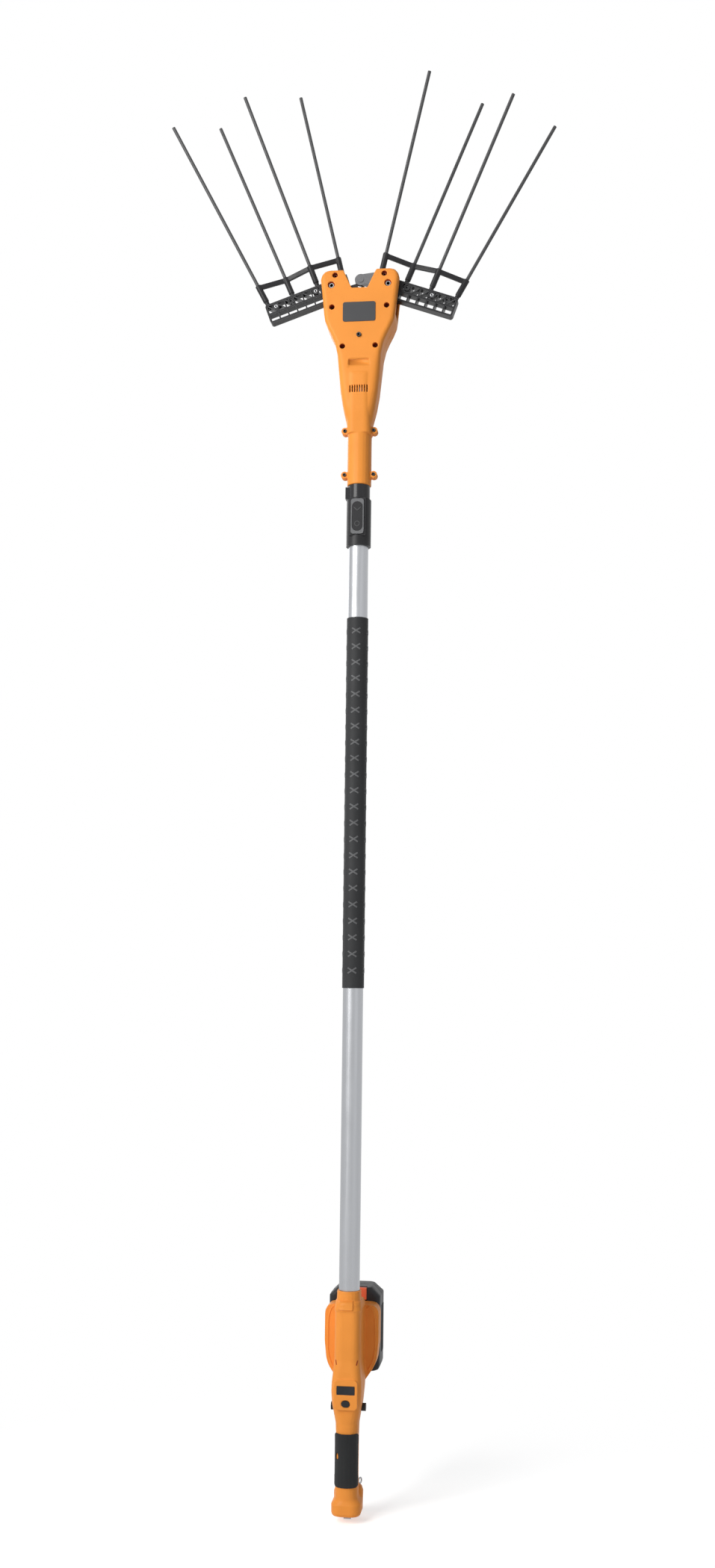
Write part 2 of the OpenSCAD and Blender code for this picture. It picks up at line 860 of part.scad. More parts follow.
module plug_stem() {
    groove_w = latch_tooth_w + free_gap * 4;
    color(black)
        difference() {
            union() {
                translate([0, 0, collar_z - spigot_l])
                    cylinder(r = spigot_r, h = spigot_l + overrun * 2);
                translate([0, 0, collar_z + seal_t + touch_gap])
                    cylinder(d = collar_d, h = collar_h - seal_t - touch_gap * 2);
                translate([0, 0, head_z - touch_gap * 2])
                    cylinder(r = stem_r, h = stem_h);
                span_box([-collar_lug_x, -collar_lug_w / 2, collar_z + seal_t + touch_gap],
                    [0, collar_lug_w / 2, collar_z + seal_t + collar_lug_h]);
            }
            translate([0, 0, collar_z - spigot_l + contact_pin_l])
                cylinder(r = contact_well_r, h = far);
            contact_set(collar_z - spigot_l - overrun, contact_pin_l + overrun * 2, touch_gap);
            span_box([-groove_w / 2, -far, collar_z - spigot_l - overrun],
                [groove_w / 2, latch_groove_depth - spigot_r, latch_z + latch_tooth_h + free_gap * 4]);
        }
}

module seal_ring() {
    color(black)
        translate([0, 0, collar_z + touch_gap])
            difference() {
                cylinder(d = collar_d, h = seal_t - touch_gap);
                translate([0, 0, -overrun])
                    cylinder(r = spigot_r + touch_gap, h = seal_t + overrun * 2);
            }
}

function head_level(i, inset) = let (
        half_d = head_d / 2 * head_depth_shares[i] - inset
    ) [
        i == 0 ? head_z : body_z + head_body_h * head_rise_shares[i],
        head_w / 2 * head_width_shares[i] - inset,
        -half_d,
        half_d,
        max(head_d / 2 * head_round_shares[i] - inset, inset)
    ];

module notch_prism(grow) {
    top = head_top + overrun;
    low = head_top - notch_depth - grow;
    y_plate(-far, far)
        polygon([
            [-notch_top_w / 2 - grow, top], [-notch_bottom_w / 2 - grow, low],
            [notch_bottom_w / 2 + grow, low], [notch_top_w / 2 + grow, top]
        ]);
}

// hollow head before it is split into a front and a rear shell
module head_skin() {
    difference() {
        union() {
            loft(head_levels);
            loft(barrel_levels);
        }
        difference() {
            loft(head_cavity);
            notch_prism(head_wall);
        }
        notch_prism(0);
        span_box([-far, -swing_gap / 2, horn_zone_z], [far, swing_gap / 2, head_top + overrun]);
        translate([0, 0, head_z - overrun])
            cylinder(r = stem_r + touch_gap, h = head_levels[cavity_first][0] - head_z + overrun * 2);
    }
}

// bosses, saddles and lugs inside one half of the head, with side -1 for the front
module head_fittings(side) {
    face = head_d / 2 - head_wall / 2;
    plate_out = swing_gap / 2 + plate_t + touch_gap;
    mirror([0, side > 0 ? 1 : 0, 0]) {
        for (sx = [-1, 1]) {
            y_rod(sx * side_screw_x, side_screw_z, boss_r, -face, 0);
            y_rod(sx * low_screw_x, low_screw_z, boss_r, -face, 0);
            y_rod(sx * horn_screw_x, horn_screw_z, horn_boss_r, -face, -plate_out);
            y_rod(sx * pivot_x, pivot_z, pivot_boss_r, -face, -plate_out);
            for (z = ear_zs)
                y_rod(sx * ear_x, z, ear_r, -ear_half_t, 0);
        }
        for (s = saddle_rise_shares)
            difference() {
                translate([-saddle_w / 2, -motor_r - head_wall, motor_z + motor_l * s])
                    cube([saddle_w, saddle_depth, saddle_h]);
                translate([0, 0, motor_z])
                    cylinder(r = motor_r + touch_gap, h = motor_l + overrun);
            }
    }
}

// holes through one half of the head
module head_holes(side) {
    plate_out = swing_gap / 2 + plate_t + touch_gap;
    mirror([0, side > 0 ? 1 : 0, 0])
        for (sx = [-1, 1]) {
            y_rod(sx * horn_screw_x, horn_screw_z, well_r, -far, -plate_out - screw_head_h);
            y_rod(sx * horn_screw_x, horn_screw_z, horn_screw_r + touch_gap, -far, 0);
            y_rod(sx * pivot_x, pivot_z, pivot_well_r, -far, -head_d / 2 + shaft_inset);
            y_rod(sx * pivot_x, pivot_z, pivot_d / 2 + touch_gap, -far, 0);
        }
    for (sx = [-1, 1]) {
        y_rod(sx * side_screw_x, side_screw_z, screw_r + touch_gap, -far, screw_end_y);
        y_rod(sx * low_screw_x, low_screw_z, screw_r + touch_gap, -far, screw_end_y);
        y_rod(sx * side_screw_x, side_screw_z, well_r, -far, -screw_seat_y);
        y_rod(sx * low_screw_x, low_screw_z, well_r, -far, -screw_seat_y);
        for (z = ear_zs)
            y_rod(sx * ear_x, z, ear_screw_r + touch_gap, -far, ear_screw_l - ear_half_t + overrun);
    }
}

module head_front_shell() {
    color(orange)
        difference() {
            intersection() {
                union() {
                    head_skin();
                    head_fittings(-1);
                }
                half_space(-1);
            }
            head_holes(-1);
            translate([0, 0, head_z - overrun])
                cylinder(r = stem_r + touch_gap, h = stem_h);
            y_rod(0, centre_screw_z, screw_r + touch_gap, -far, 0);
            span_box([-recess_w / 2, -far, recess_z - recess_h / 2],
                [recess_w / 2, recess_depth - head_d / 2, recess_z + recess_h / 2]);
            for (i = [0:vent_count - 1])
                translate([(i - (vent_count - 1) / 2) * vent_pitch, 0, vent_z])
                    y_plate(-far, -motor_r)
                        stadium(vent_w, vent_h);
        }
}

module head_rear_shell() {
    color(orange)
        difference() {
            intersection() {
                union() {
                    head_skin();
                    head_fittings(1);
                }
                half_space(1);
            }
            head_holes(1);
            for (i = [0:vent_count - 1])
                translate([(i - (vent_count - 1) / 2) * vent_pitch, 0, vent_z])
                    y_plate(motor_r, far)
                        stadium(vent_w, vent_h);
        }
}

module head_screws() {
    horn_seat = swing_gap / 2 + plate_t + touch_gap + screw_head_h;
    color(steel) {
        for (sx = [-1, 1]) {
            translate([sx * side_screw_x, -screw_seat_y, side_screw_z])
                pan_screw(screw_head_r, screw_head_h, screw_r, screw_seat_y + screw_end_y - overrun);
            translate([sx * low_screw_x, -screw_seat_y, low_screw_z])
                pan_screw(screw_head_r, screw_head_h, screw_r, screw_seat_y + screw_end_y - overrun);
        }
        translate([0, -head_d / 2, centre_screw_z])
            pan_screw(screw_head_r, screw_head_h, screw_r, centre_screw_l);
        for (side = [0, 1])
            for (sx = [-1, 1])
                mirror([0, side, 0])
                    translate([sx * horn_screw_x, -horn_seat, horn_screw_z])
                        pan_screw(horn_head_r, screw_head_h, horn_screw_r,
                            horn_seat - swing_gap / 2 - touch_gap);
    }
}

module neck_screws() {
    color(steel)
        for (sx = [-1, 1])
            for (z = ear_zs)
                translate([sx * ear_x, -ear_half_t, z])
                    pan_screw(ear_head_r, ear_head_h, ear_screw_r, ear_screw_l);
}

module pivot_plates() {
    near = swing_gap / 2 + touch_gap;
    color(steel)
        for (side = [0, 1])
            for (sx = [0, 1])
                mirror([0, side, 0])
                    mirror([sx, 0, 0])
                        difference() {
                            y_plate(-near - plate_t, -near) {
                                translate([pivot_x, pivot_z])
                                    circle(r = pivot_boss_r);
                                translate([horn_screw_x, horn_screw_z])
                                    circle(r = horn_boss_r);
                                bar_outline([pivot_x, pivot_z], [horn_screw_x, horn_screw_z], horn_boss_r);
                            }
                            y_rod(pivot_x, pivot_z, pivot_d / 2 + touch_gap, -far, 0);
                            y_rod(horn_screw_x, horn_screw_z, horn_screw_r + touch_gap, -far, 0);
                        }
}

module pivot_shafts() {
    half_l = head_d / 2 - shaft_inset;
    color(steel)
        for (sx = [-1, 1])
            y_rod(sx * pivot_x, pivot_z, pivot_d / 2, -half_l, half_l);
}

module label_plate() {
    color(charcoal)
        translate([0, 0, label_z])
            y_plate(-head_d / 2 - label_t, -head_d / 2)
                round_rect(label_w, label_h, label_round);
}

module motor_can() {
    color(steel)
        translate([0, 0, motor_z])
            difference() {
                cylinder(r = motor_r, h = motor_l);
                translate([0, 0, motor_wall])
                    cylinder(r = motor_bore_r, h = motor_l - motor_wall * 2);
                translate([0, 0, -overrun])
                    cylinder(r = motor_shaft_r + running_gap, h = motor_l + overrun * 2);
            }
}

module motor_rotor() {
    color(bronze)
        translate([0, 0, motor_z]) {
            cylinder(r = motor_shaft_r, h = motor_l + gear_gap + gear_w);
            translate([0, 0, rotor_end_gap])
                cylinder(r = rotor_r, h = motor_l - rotor_end_gap * 2);
            translate([0, 0, motor_l + gear_gap])
                linear_extrude(gear_w)
                    spur_outline(sun_teeth);
        }
}

module ring_gear() {
    color(steel)
        translate([0, 0, gear_z])
            difference() {
                cylinder(r = motor_r, h = ring_h);
                translate([0, 0, -overrun])
                    linear_extrude(ring_h + overrun * 2)
                        rotate(180 / ring_teeth)
                            gear_outline(ring_teeth, gear_module * tooth_in_share,
                                gear_module * tooth_out_share, gap_tip_share, gap_root_share);
            }
}

module planet_gear(turn) {
    color(brass)
        rotate(turn)
            translate([planet_orbit, 0, gear_z + gear_gap])
                difference() {
                    linear_extrude(gear_w)
                        rotate(180 / planet_teeth)
                            spur_outline(planet_teeth);
                    translate([0, 0, -overrun])
                        cylinder(r = planet_pin_r + touch_gap, h = gear_w + overrun * 2);
                }
}

module planet_1() {
    planet_gear(0);
}

module planet_2() {
    planet_gear(360 / planet_count);
}

module planet_3() {
    planet_gear(720 / planet_count);
}

// planet carrier, output shaft, crank disc and eccentric roller in one turning piece
module crank_shaft() {
    carrier_z = gear_z + gear_w + gear_gap * 2;
    color(steel) {
        translate([0, 0, carrier_z])
            cylinder(r = planet_orbit + carrier_rim, h = carrier_t);
        for (i = [0:planet_count - 1])
            rotate(i * 360 / planet_count)
                translate([planet_orbit, 0, gear_z + gear_gap])
                    cylinder(r = planet_pin_r, h = gear_w + gear_gap * 2);
        translate([0, 0, carrier_z])
            cylinder(r = shaft_r, h = crank_z - carrier_z + crank_t);
        translate([0, 0, crank_z])
            cylinder(r = crank_r, h = crank_t);
        translate([throw_r, 0, crank_z + crank_t])
            cylinder(r = roller_pin_r, h = roller_lift + roller_h);
        translate([throw_r, 0, roller_z])
            cylinder(r = roller_r, h = roller_h);
    }
}

module gear_cover() {
    color(cast_grey)
        translate([0, 0, gear_z + ring_h])
            difference() {
                cylinder(r = motor_r, h = cover_h);
                translate([0, 0, -overrun])
                    cylinder(r = shaft_r + running_gap, h = cover_h + overrun * 2);
            }
}

module bearing_block() {
    half_d = head_d / 2 - head_wall - touch_gap;
    color(cast_grey)
        difference() {
            span_box([-bearing_w / 2, -half_d, bearing_z],
                [bearing_w / 2, half_d, bearing_z + bearing_h]);
            translate([0, 0, bearing_z - overrun])
                cylinder(r = shaft_r + running_gap, h = bearing_h + overrun * 2);
            y_rod(0, centre_screw_z, screw_r + touch_gap, -far, -head_d / 2 + centre_screw_l + overrun);
        }
}

// hub, flange and bush bore common to both rockers, in the right-hand place
module rocker_hub() {
    y_rod(pivot_x, pivot_z, flange_r, -flange_y, -flange_in);
    translate([pivot_x, block_t / 2, pivot_z])
        rotate([0, comb_droop, 0])
            rotate([90, 0, 0])
                cylinder(r = hub_flats_r, h = block_t / 2 + flange_y, $fn = 6);
}

module right_rocker() {
    fork_top = pivot_z - fork_drop;
    color(cast_grey)
        difference() {
            union() {
                rocker_hub();
                y_rod(link_place[0], link_place[1], link_boss_r, -flange_y, -flange_in);
                y_plate(-flange_y, -flange_in) {
                    bar_outline([pivot_x, pivot_z], link_place, lever_half_h);
                    bar_outline([pivot_x, pivot_z], [fork_half_w, fork_top - fork_bar_h / 2], fork_arm_w / 2);
                }
                y_plate(crown_step - flange_y, crown_t - flange_y)
                    hull() {
                        translate(link_place)
                            circle(r = link_boss_r - crown_step);
                        translate([crown_x, pivot_z + crown_rise])
                            circle(r = crown_r);
                    }
                span_box([-fork_half_w - fork_wall, -flange_y, fork_top - fork_bar_h],
                    [fork_half_w + fork_wall, fork_half_d, fork_top]);
                for (sx = [-1, 1])
                    translate([sx * (fork_half_w + fork_wall / 2) - fork_wall / 2,
                            -fork_half_d, pivot_z - fork_reach])
                        cube([fork_wall, fork_half_d * 2, fork_reach - fork_drop - overrun]);
            }
            y_rod(pivot_x, pivot_z, bush_r + touch_gap, -far, far);
            y_rod(link_place[0], link_place[1], link_pin_r + touch_gap, -far, far);
        }
}

module link_pin() {
    color(steel) {
        y_rod(link_place[0], link_place[1], link_pin_r, -flange_y, flange_y);
        y_rod(link_place[0], link_place[1], link_head_r, -flange_y - link_head_h, -flange_y);
    }
}

module left_rocker() {
    slot_tip = [-slot_out, link_place[1]];
    color(cast_grey)
        rotate([0, 0, 180])
            difference() {
                union() {
                    rocker_hub();
                    y_plate(-flange_y, -flange_in) {
                        bar_outline([pivot_x, pivot_z], link_place, lever_half_h);
                        translate(link_place)
                            circle(r = link_boss_r);
                        translate(slot_tip)
                            circle(r = link_boss_r - slot_half_w / 2);
                    }
                }
                y_rod(pivot_x, pivot_z, bush_r + touch_gap, -far, far);
                y_rod(slot_in, link_place[1], slot_half_w, -far, far);
                y_rod(-slot_out, link_place[1], slot_half_w, -far, far);
                span_box([-slot_out, -far, link_place[1] - slot_half_w],
                    [slot_in, far, link_place[1] + slot_half_w]);
            }
}

module pivot_bush() {
    half_l = swing_gap / 2 - bush_gap;
    color(bronze)
        difference() {
            y_rod(pivot_x, pivot_z, bush_r, -half_l, half_l);
            y_rod(pivot_x, pivot_z, bush_bore_r, -far, far);
        }
}

module right_bush() {
    pivot_bush();
}

module left_bush() {
    rotate([0, 0, 180])
        pivot_bush();
}

// a tine's own frame: Z up the rod from the top of the block
module at_tine(i) {
    lean = i % 2 == 0 ? 1 : -1;
    translate([first_tine_u + i * tine_pitch, -lean * tine_foot_y, block_top])
        rotate([lean * tine_splay, tine_fan_angles[i], 0])
            children();
}

function tine_point(i, h) = let (
        lean = i % 2 == 0 ? 1 : -1,
        a = tine_fan_angles[i]
    ) [
        first_tine_u + i * tine_pitch + h * cos(tine_splay) * sin(a),
        -lean * (tine_foot_y + h * sin(tine_splay)),
        block_top + h * cos(tine_splay) * cos(a)
    ];

// straight bar between two points
module strut(p, q) {
    d = q - p;
    flat = norm([d[0], d[1]]);
    translate(p)
        rotate([0, -atan2(d[2], flat), atan2(d[1], d[0])])
            translate([0, -bar_t / 2, -bar_h / 2])
                cube([norm(d), bar_t, bar_h]);
}

module block_outline() {
    translate([block_inner_u, arm_low])
        square([block_face_u - block_inner_u, block_top - arm_low]);
    circle(r = hub_ring_r);
    translate([0, block_low + block_corner])
        square([block_face_u, block_top - block_low - block_corner]);
    translate([(block_l + block_face_u) / 2 - block_corner / 2, block_low + block_h / 2])
        round_rect(block_l - block_face_u + block_corner, block_h, block_corner);
}

// half of a comb block, with side -1 for the half toward -Y
module comb_half(side) {
    near = side < 0 ? -block_t / 2 : 0;
    rows = [
        [block_low + rail_t, mid_rail_v - rail_t / 2],
        [mid_rail_v + rail_t / 2, block_top - rail_t]
    ];
    difference() {
        union() {
            difference() {
                y_plate(near, near + block_t / 2)
                    block_outline();
                for (i = [0:cell_count - 1])
                    for (v = rows)
                        span_box([cell_first_u + i * cell_step, -far, v[0]],
                            [cell_first_u + (i + 1) * cell_step - rib_t, far, v[1]]);
            }
            for (i = [0:cell_count - 1])
                y_plate(near, near + block_t / 2)
                    bar_outline([cell_first_u + i * cell_step - rib_t / 2, mid_rail_v],
                        [cell_first_u + (i + 1) * cell_step - rib_t / 2, block_top - rail_t / 2],
                        brace_t / 2);
            for (u = block_screws)
                y_rod(u, block_screw_v, block_boss_r, near, near + block_t / 2);
        }
        translate([0, far, 0])
            rotate([90, 0, 0])
                cylinder(r = hub_flats_r + block_hub_gap, h = far * 2, $fn = 6);
        for (i = [0:len(block_screws) - 1]) {
            outer = -block_screw_sides[i] * (block_t / 2 - block_screw_inset - block_head_h);
            y_rod(block_screws[i], block_screw_v, block_screw_r + touch_gap, -far, far);
            if (outer < 0)
                y_rod(block_screws[i], block_screw_v, block_head_r + touch_gap, -far, outer);
            else
                y_rod(block_screws[i], block_screw_v, block_head_r + touch_gap, outer, far);
        }
        for (i = [0:tine_count - 1])
            at_tine(i)
                translate([0, 0, -neck_depth])
                    cylinder(r = neck_r + touch_gap, h = neck_depth * 3);
    }
}

module comb_screw_set() {
    seat = block_t / 2 - block_screw_inset - block_head_h;
    for (i = [0:len(block_screws) - 1])
        translate([block_screws[i], 0, block_screw_v])
            mirror([0, block_screw_sides[i] < 0 ? 1 : 0, 0])
                translate([0, -seat, 0])
                    pan_screw(block_head_r, block_head_h, block_screw_r,
                        seat + block_t / 2 - block_screw_inset);
}

module tine_frame() {
    difference() {
        union() {
            for (i = [0:tine_count - 1])
                at_tine(i) {
                    translate([0, 0, -neck_depth + touch_gap])
                        cylinder(r = neck_r, h = neck_depth + sleeve_lift);
                    translate([0, 0, sleeve_lift])
                        cylinder(d = tine_sleeve_d, h = tine_sleeve_h - sleeve_lift);
                }
            for (i = [0:tine_count - 2])
                strut(tine_point(i, tine_sleeve_h - bar_h / 2), tine_point(i + 1, tine_sleeve_h - bar_h / 2));
        }
        for (i = [0:tine_count - 1])
            at_tine(i)
                translate([0, 0, -neck_depth - overrun])
                    cylinder(r = tine_d / 2 + touch_gap, h = tine_sleeve_h + neck_depth + bar_h);
    }
}

module tine_rods() {
    for (i = [0:tine_count - 1])
        at_tine(i)
            translate([0, 0, -neck_depth + touch_gap * 2])
                cylinder(d = tine_d, h = tine_l + tine_sleeve_h + neck_depth);
}

module right_comb_front() {
    color(black)
        right_comb()
            comb_half(-1);
}

module right_comb_rear() {
    color(black)
        right_comb()
            comb_half(1);
}

module right_tine_frame() {
    color(black)
        right_comb()
            tine_frame();
}

module right_tines() {
    color(charcoal)
        right_comb()
            tine_rods();
}

module right_comb_screws() {
    color(steel)
        right_comb()
            comb_screw_set();
}

module left_comb_front() {
    color(black)
        left_comb()
            comb_half(1);
}

module left_comb_rear() {
    color(black)
        left_comb()
            comb_half(-1);
}

module left_tine_frame() {
    color(black)
        left_comb()
            tine_frame();
}

module left_tines() {
    color(charcoal)
        left_comb()
            tine_rods();
}

module left_comb_screws() {
    color(steel)
        left_comb()
            comb_screw_set();
}

function handle_table(shares) = [for (i = [0:handle_count - 1]) [handle_rise_shares[i], shares[i]]];

// section of the handle at a height, grown outward by a margin
function handle_level(z, grow) = let (
        rise = z / handle_h
    ) [
        z,
        handle_w / 2 * lookup(rise, handle_table(handle_width_shares)) + grow,
        -handle_d * lookup(rise, handle_table(handle_front_shares)) - grow,
        handle_d * lookup(rise, handle_table(handle_rear_shares)) + grow,
        handle_d * lookup(rise, handle_table(handle_round_shares)) + grow
    ];

module wing_outline() {
    half = [for (i = [0:len(wing_width_shares) - 1])
        [wing_w / 2 * wing_width_shares[i],
            wing_low - wing_skirt + (wing_h + wing_skirt) * wing_rise_shares[i]]];
    left = [for (i = [len(half) - 1:-1:0]) [-half[i][0], half[i][1]]];
    polygon(concat(half, left));
}

// T-shaped dock rail behind the wings, grown by a clearance
module dock_rail(low, high, grow) {
    span_box([-rail_stem_w / 2 - grow, wing_back - overrun, low],
        [rail_stem_w / 2 + grow, wing_back + rail_stem_d + overrun, high]);
    span_box([-rail_cap_w / 2 - grow, wing_back + rail_stem_d - grow, low],
        [rail_cap_w / 2 + grow, wing_back + rail_stem_d + rail_cap_d + grow, high]);
}

module handle_skin() {
    difference() {
        union() {
            loft(handle_levels);
            loft(heel_levels);
            loft(band_levels);
            intersection() {
                translate([0, 0, panel_z + panel_h / 2])
                    y_plate(-panel_y, 0)
                        round_rect(panel_w, panel_h, panel_round);
                half_space(-1);
            }
            y_plate(wing_front, wing_back)
                wing_outline();
            dock_rail(rail_low, rail_top, 0);
        }
        loft(handle_cavity);
        span_box([-wing_w / 2 + wing_room_gap, wing_front + handle_wall, cavity_roof - wing_room_h],
            [wing_w / 2 - wing_room_gap, wing_back - handle_wall, wing_top - wing_room_roof]);
        translate([0, 0, tube_seat_z - touch_gap])
            cylinder(r = tube_r + touch_gap, h = far);
        translate([0, 0, cavity_roof - overrun])
            cylinder(r = tube_bore_r, h = far);
    }
}

module handle_bosses() {
    for (spot = handle_screw_spots)
        intersection() {
            y_rod(spot[0], spot[1], handle_boss_r, -far, far);
            loft([
                handle_level(spot[1] - handle_boss_r * 2, -overrun),
                handle_level(spot[1] + handle_boss_r * 2, -overrun)
            ]);
        }
}

module handle_holes() {
    for (spot = handle_screw_spots) {
        y_rod(spot[0], spot[1], handle_screw_r + touch_gap, handle_seat_y - handle_screw_l - overrun, far);
        y_rod(spot[0], spot[1], handle_head_r + free_gap, handle_seat_y, far);
    }
    x_rod(lock_y, lock_z, lock_r + slip_gap, -far, far);
}

module handle_front_shell() {
    color(orange)
        difference() {
            intersection() {
                union() {
                    handle_skin();
                    handle_bosses();
                }
                half_space(-1);
            }
            handle_holes();
            translate([0, 0, display_z])
                y_plate(-far, display_t - panel_y)
                    square([display_w + touch_gap * 2, display_h + touch_gap * 2], center = true);
            translate([0, 0, button_z])
                y_plate(-far, 0)
                    rotate(90)
                        stadium(button_h + free_gap * 2, button_w + free_gap * 2);
        }
}

module handle_rear_shell() {
    slot_half = trigger_w / 2 + trigger_room;
    cheek_low = trigger_pivot_z - cheek_h / 2;
    color(orange)
        difference() {
            union() {
                difference() {
                    intersection() {
                        union() {
                            handle_skin();
                            handle_bosses();
                        }
                        half_space(1);
                    }
                    span_box([-slot_half, trigger_in, trigger_pivot_z - trigger_h - trigger_low_room],
                        [slot_half, far, trigger_pivot_z + trigger_head + trigger_room * 2]);
                }
                for (sx = [-1, 1])
                    translate([sx * (slot_half + cheek_t / 2) - cheek_t / 2,
                            trigger_pivot_y - cheek_h / 2, cheek_low])
                        cube([cheek_t, cheek_h * full_share - handle_wall, cheek_h]);
            }
            handle_holes();
            x_rod(trigger_pivot_y, trigger_pivot_z, trigger_pin_r + touch_gap,
                -slot_half - cheek_t - overrun, slot_half + cheek_t + overrun);
            span_box([-tab_w / 2 - touch_gap, tab_y - tab_t / 2 - touch_gap, -overrun],
                [tab_w / 2 + touch_gap, tab_y + tab_t / 2 + touch_gap, tab_root + touch_gap]);
            strap_ring(touch_gap);
            for (sx = [-1, 1])
                translate([sx * blade_x, 0, 0])
                    blade_box(touch_gap);
        }
}

module handle_screws() {
    color(steel)
        for (spot = handle_screw_spots)
            translate([spot[0], handle_seat_y, spot[1]])
                mirror([0, 1, 0])
                    pan_screw(handle_head_r, handle_head_h, handle_screw_r, handle_screw_l);
}

module display_window() {
    color(glass_dark)
        translate([0, 0, display_z])
            y_plate(-panel_y, display_t - panel_y - touch_gap)
                square([display_w, display_h], center = true);
}

module power_button() {
    color(black)
        translate([0, 0, button_z]) {
            y_plate(-panel_y - button_proud, button_t - panel_y)
                rotate(90)
                    stadium(button_h, button_w);
        }
}

module lock_button() {
    color(black)
        x_rod(lock_y, lock_z, lock_r, -lock_l / 2, lock_l / 2);
}

module rubber_grip() {
    low = rubber_zs[0];
    high = rubber_zs[rubber_steps];
    color(black)
        difference() {
            intersection() {
                loft([for (z = rubber_zs) handle_level(z, rubber_t)]);
                translate([-far, -far - rubber_back, 0])
                    cube([far * 2, far, far]);
            }
            loft([for (z = concat([low - overrun], rubber_zs, [high + overrun])) handle_level(z, touch_gap)]);
        }
}

module trigger() {
    flush = trigger_back - handle_wall;
    face = [for (i = [0:len(trigger_face_shares) - 1])
        [flush + trigger_out * trigger_face_shares[i], -trigger_h * trigger_drop_shares[i]]];
    profile = concat(
        [[trigger_pivot_y - trigger_head, trigger_head], [flush, trigger_head]],
        face,
        [[trigger_pivot_y - trigger_head, -trigger_h]]
    );
    color(black)
        difference() {
            translate([-trigger_w / 2, 0, trigger_pivot_z])
                rotate([90, 0, 90])
                    linear_extrude(trigger_w)
                        polygon(profile);
            x_rod(trigger_pivot_y, trigger_pivot_z, trigger_pin_r + running_gap, -far, far);
        }
}

module trigger_pin() {
    half_l = trigger_w / 2 + trigger_room + cheek_t;
    color(steel)
        x_rod(trigger_pivot_y, trigger_pivot_z, trigger_pin_r, -half_l, half_l);
}

module trigger_switch() {
    z = trigger_pivot_z - switch_drop;
    half_w = handle_level(z, -handle_wall - free_gap)[1];
    color(charcoal)
        span_box([-half_w, switch_y - switch_d, z], [half_w, switch_y, z + switch_h]);
}

module control_board() {
    y = wing_front + handle_wall + touch_gap;
    z = cavity_roof - wing_room_h / 2;
    color(board_green)
        span_box([-board_w / 2, y, z - board_h / 2], [board_w / 2, y + board_t, z + board_h / 2]);
}

module strap_tab() {
    color(steel)
        difference() {
            span_box([-tab_w / 2, tab_y - tab_t / 2, -tab_low], [tab_w / 2, tab_y + tab_t / 2, tab_root]);
            y_rod(0, -tab_hole_drop, tab_hole_r, -far, far);
        }
}

module strap_ring(grow) {
    translate([eye_x, eye_y, eye_z])
        rotate([90, 0, eye_turn])
            rotate_extrude()
                translate([eye_r, 0])
                    circle(r = eye_wire_r + grow);
}

module strap_eye() {
    color(steel)
        strap_ring(0);
}

module blade_box(grow) {
    y = wing_back + rail_stem_d;
    span_box([-blade_t / 2 - grow, y - blade_w / 2, rail_top - blade_h],
        [blade_t / 2 + grow, y + blade_w / 2, rail_top + blade_h + grow]);
}

module terminal_blades() {
    color(brass)
        for (sx = [-1, 1])
            translate([sx * blade_x, 0, touch_gap * 2])
                blade_box(0);
}

module battery_body() {
    difference() {
        loft(battery_levels);
        loft(battery_room);
    }
}

module battery_case() {
    pocket_z = battery_top - latch_top_gap - latch_h - latch_travel;
    color(black)
        difference() {
            battery_body();
            span_box([-far, battery_split, -far], [far, far, far]);
            dock_rail(-far, rail_top + free_gap, free_gap);
            for (sx = [-1, 1])
                translate([sx * blade_x, 0, 0])
                    blade_box(free_gap);
            span_box([-latch_w / 2 - free_gap, -far, pocket_z - free_gap],
                [latch_w / 2 + free_gap, battery_y + latch_d + free_gap, far]);
        }
}

module battery_cover() {
    color(black)
        difference() {
            battery_body();
            span_box([-far, -far, -far], [far, battery_split, far]);
        }
}

module battery_latch() {
    top = battery_top - latch_top_gap;
    color(coral)
        span_box([-latch_w / 2, battery_y, top - latch_h], [latch_w / 2, battery_y + latch_d, top]);
}

module battery_cells() {
    color(cell_blue)
        for (row = [0:cell_rows - 1])
            for (i = [0:cell_stack - 1])
                x_rod(cell_y - row * (cell_d + cell_gap), cell_z + i * (cell_d + cell_gap), cell_d / 2,
                    -cell_l / 2, cell_l / 2);
}

pole_tube();
grip_sleeve();
power_cable();
connector_socket();
release_bezel();
release_rocker();
rocker_pin();
socket_contacts();
plug_stem();
plug_contacts();
seal_ring();
head_front_shell();
head_rear_shell();
head_screws();
neck_screws();
pivot_plates();
pivot_shafts();
label_plate();
motor_can();
ring_gear();
gear_cover();
bearing_block();
motor_rotor();
planet_1();
planet_2();
planet_3();
crank_shaft();
right_rocker();
right_bush();
right_comb_front();
right_comb_rear();
right_tine_frame();
right_tines();
right_comb_screws();
link_pin();
left_rocker();
left_bush();
left_comb_front();
left_comb_rear();
left_tine_frame();
left_tines();
left_comb_screws();
handle_front_shell();
handle_rear_shell();
handle_screws();
display_window();
power_button();
lock_button();
rubber_grip();
trigger();
trigger_pin();
trigger_switch();
control_board();
strap_tab();
strap_eye();
terminal_blades();
battery_case();
battery_cover();
battery_latch();
battery_cells();
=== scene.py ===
import json
import math
import bpy
import bmesh
import numpy as np
from mathutils import Matrix, Vector
from mathutils.bvhtree import BVHTree

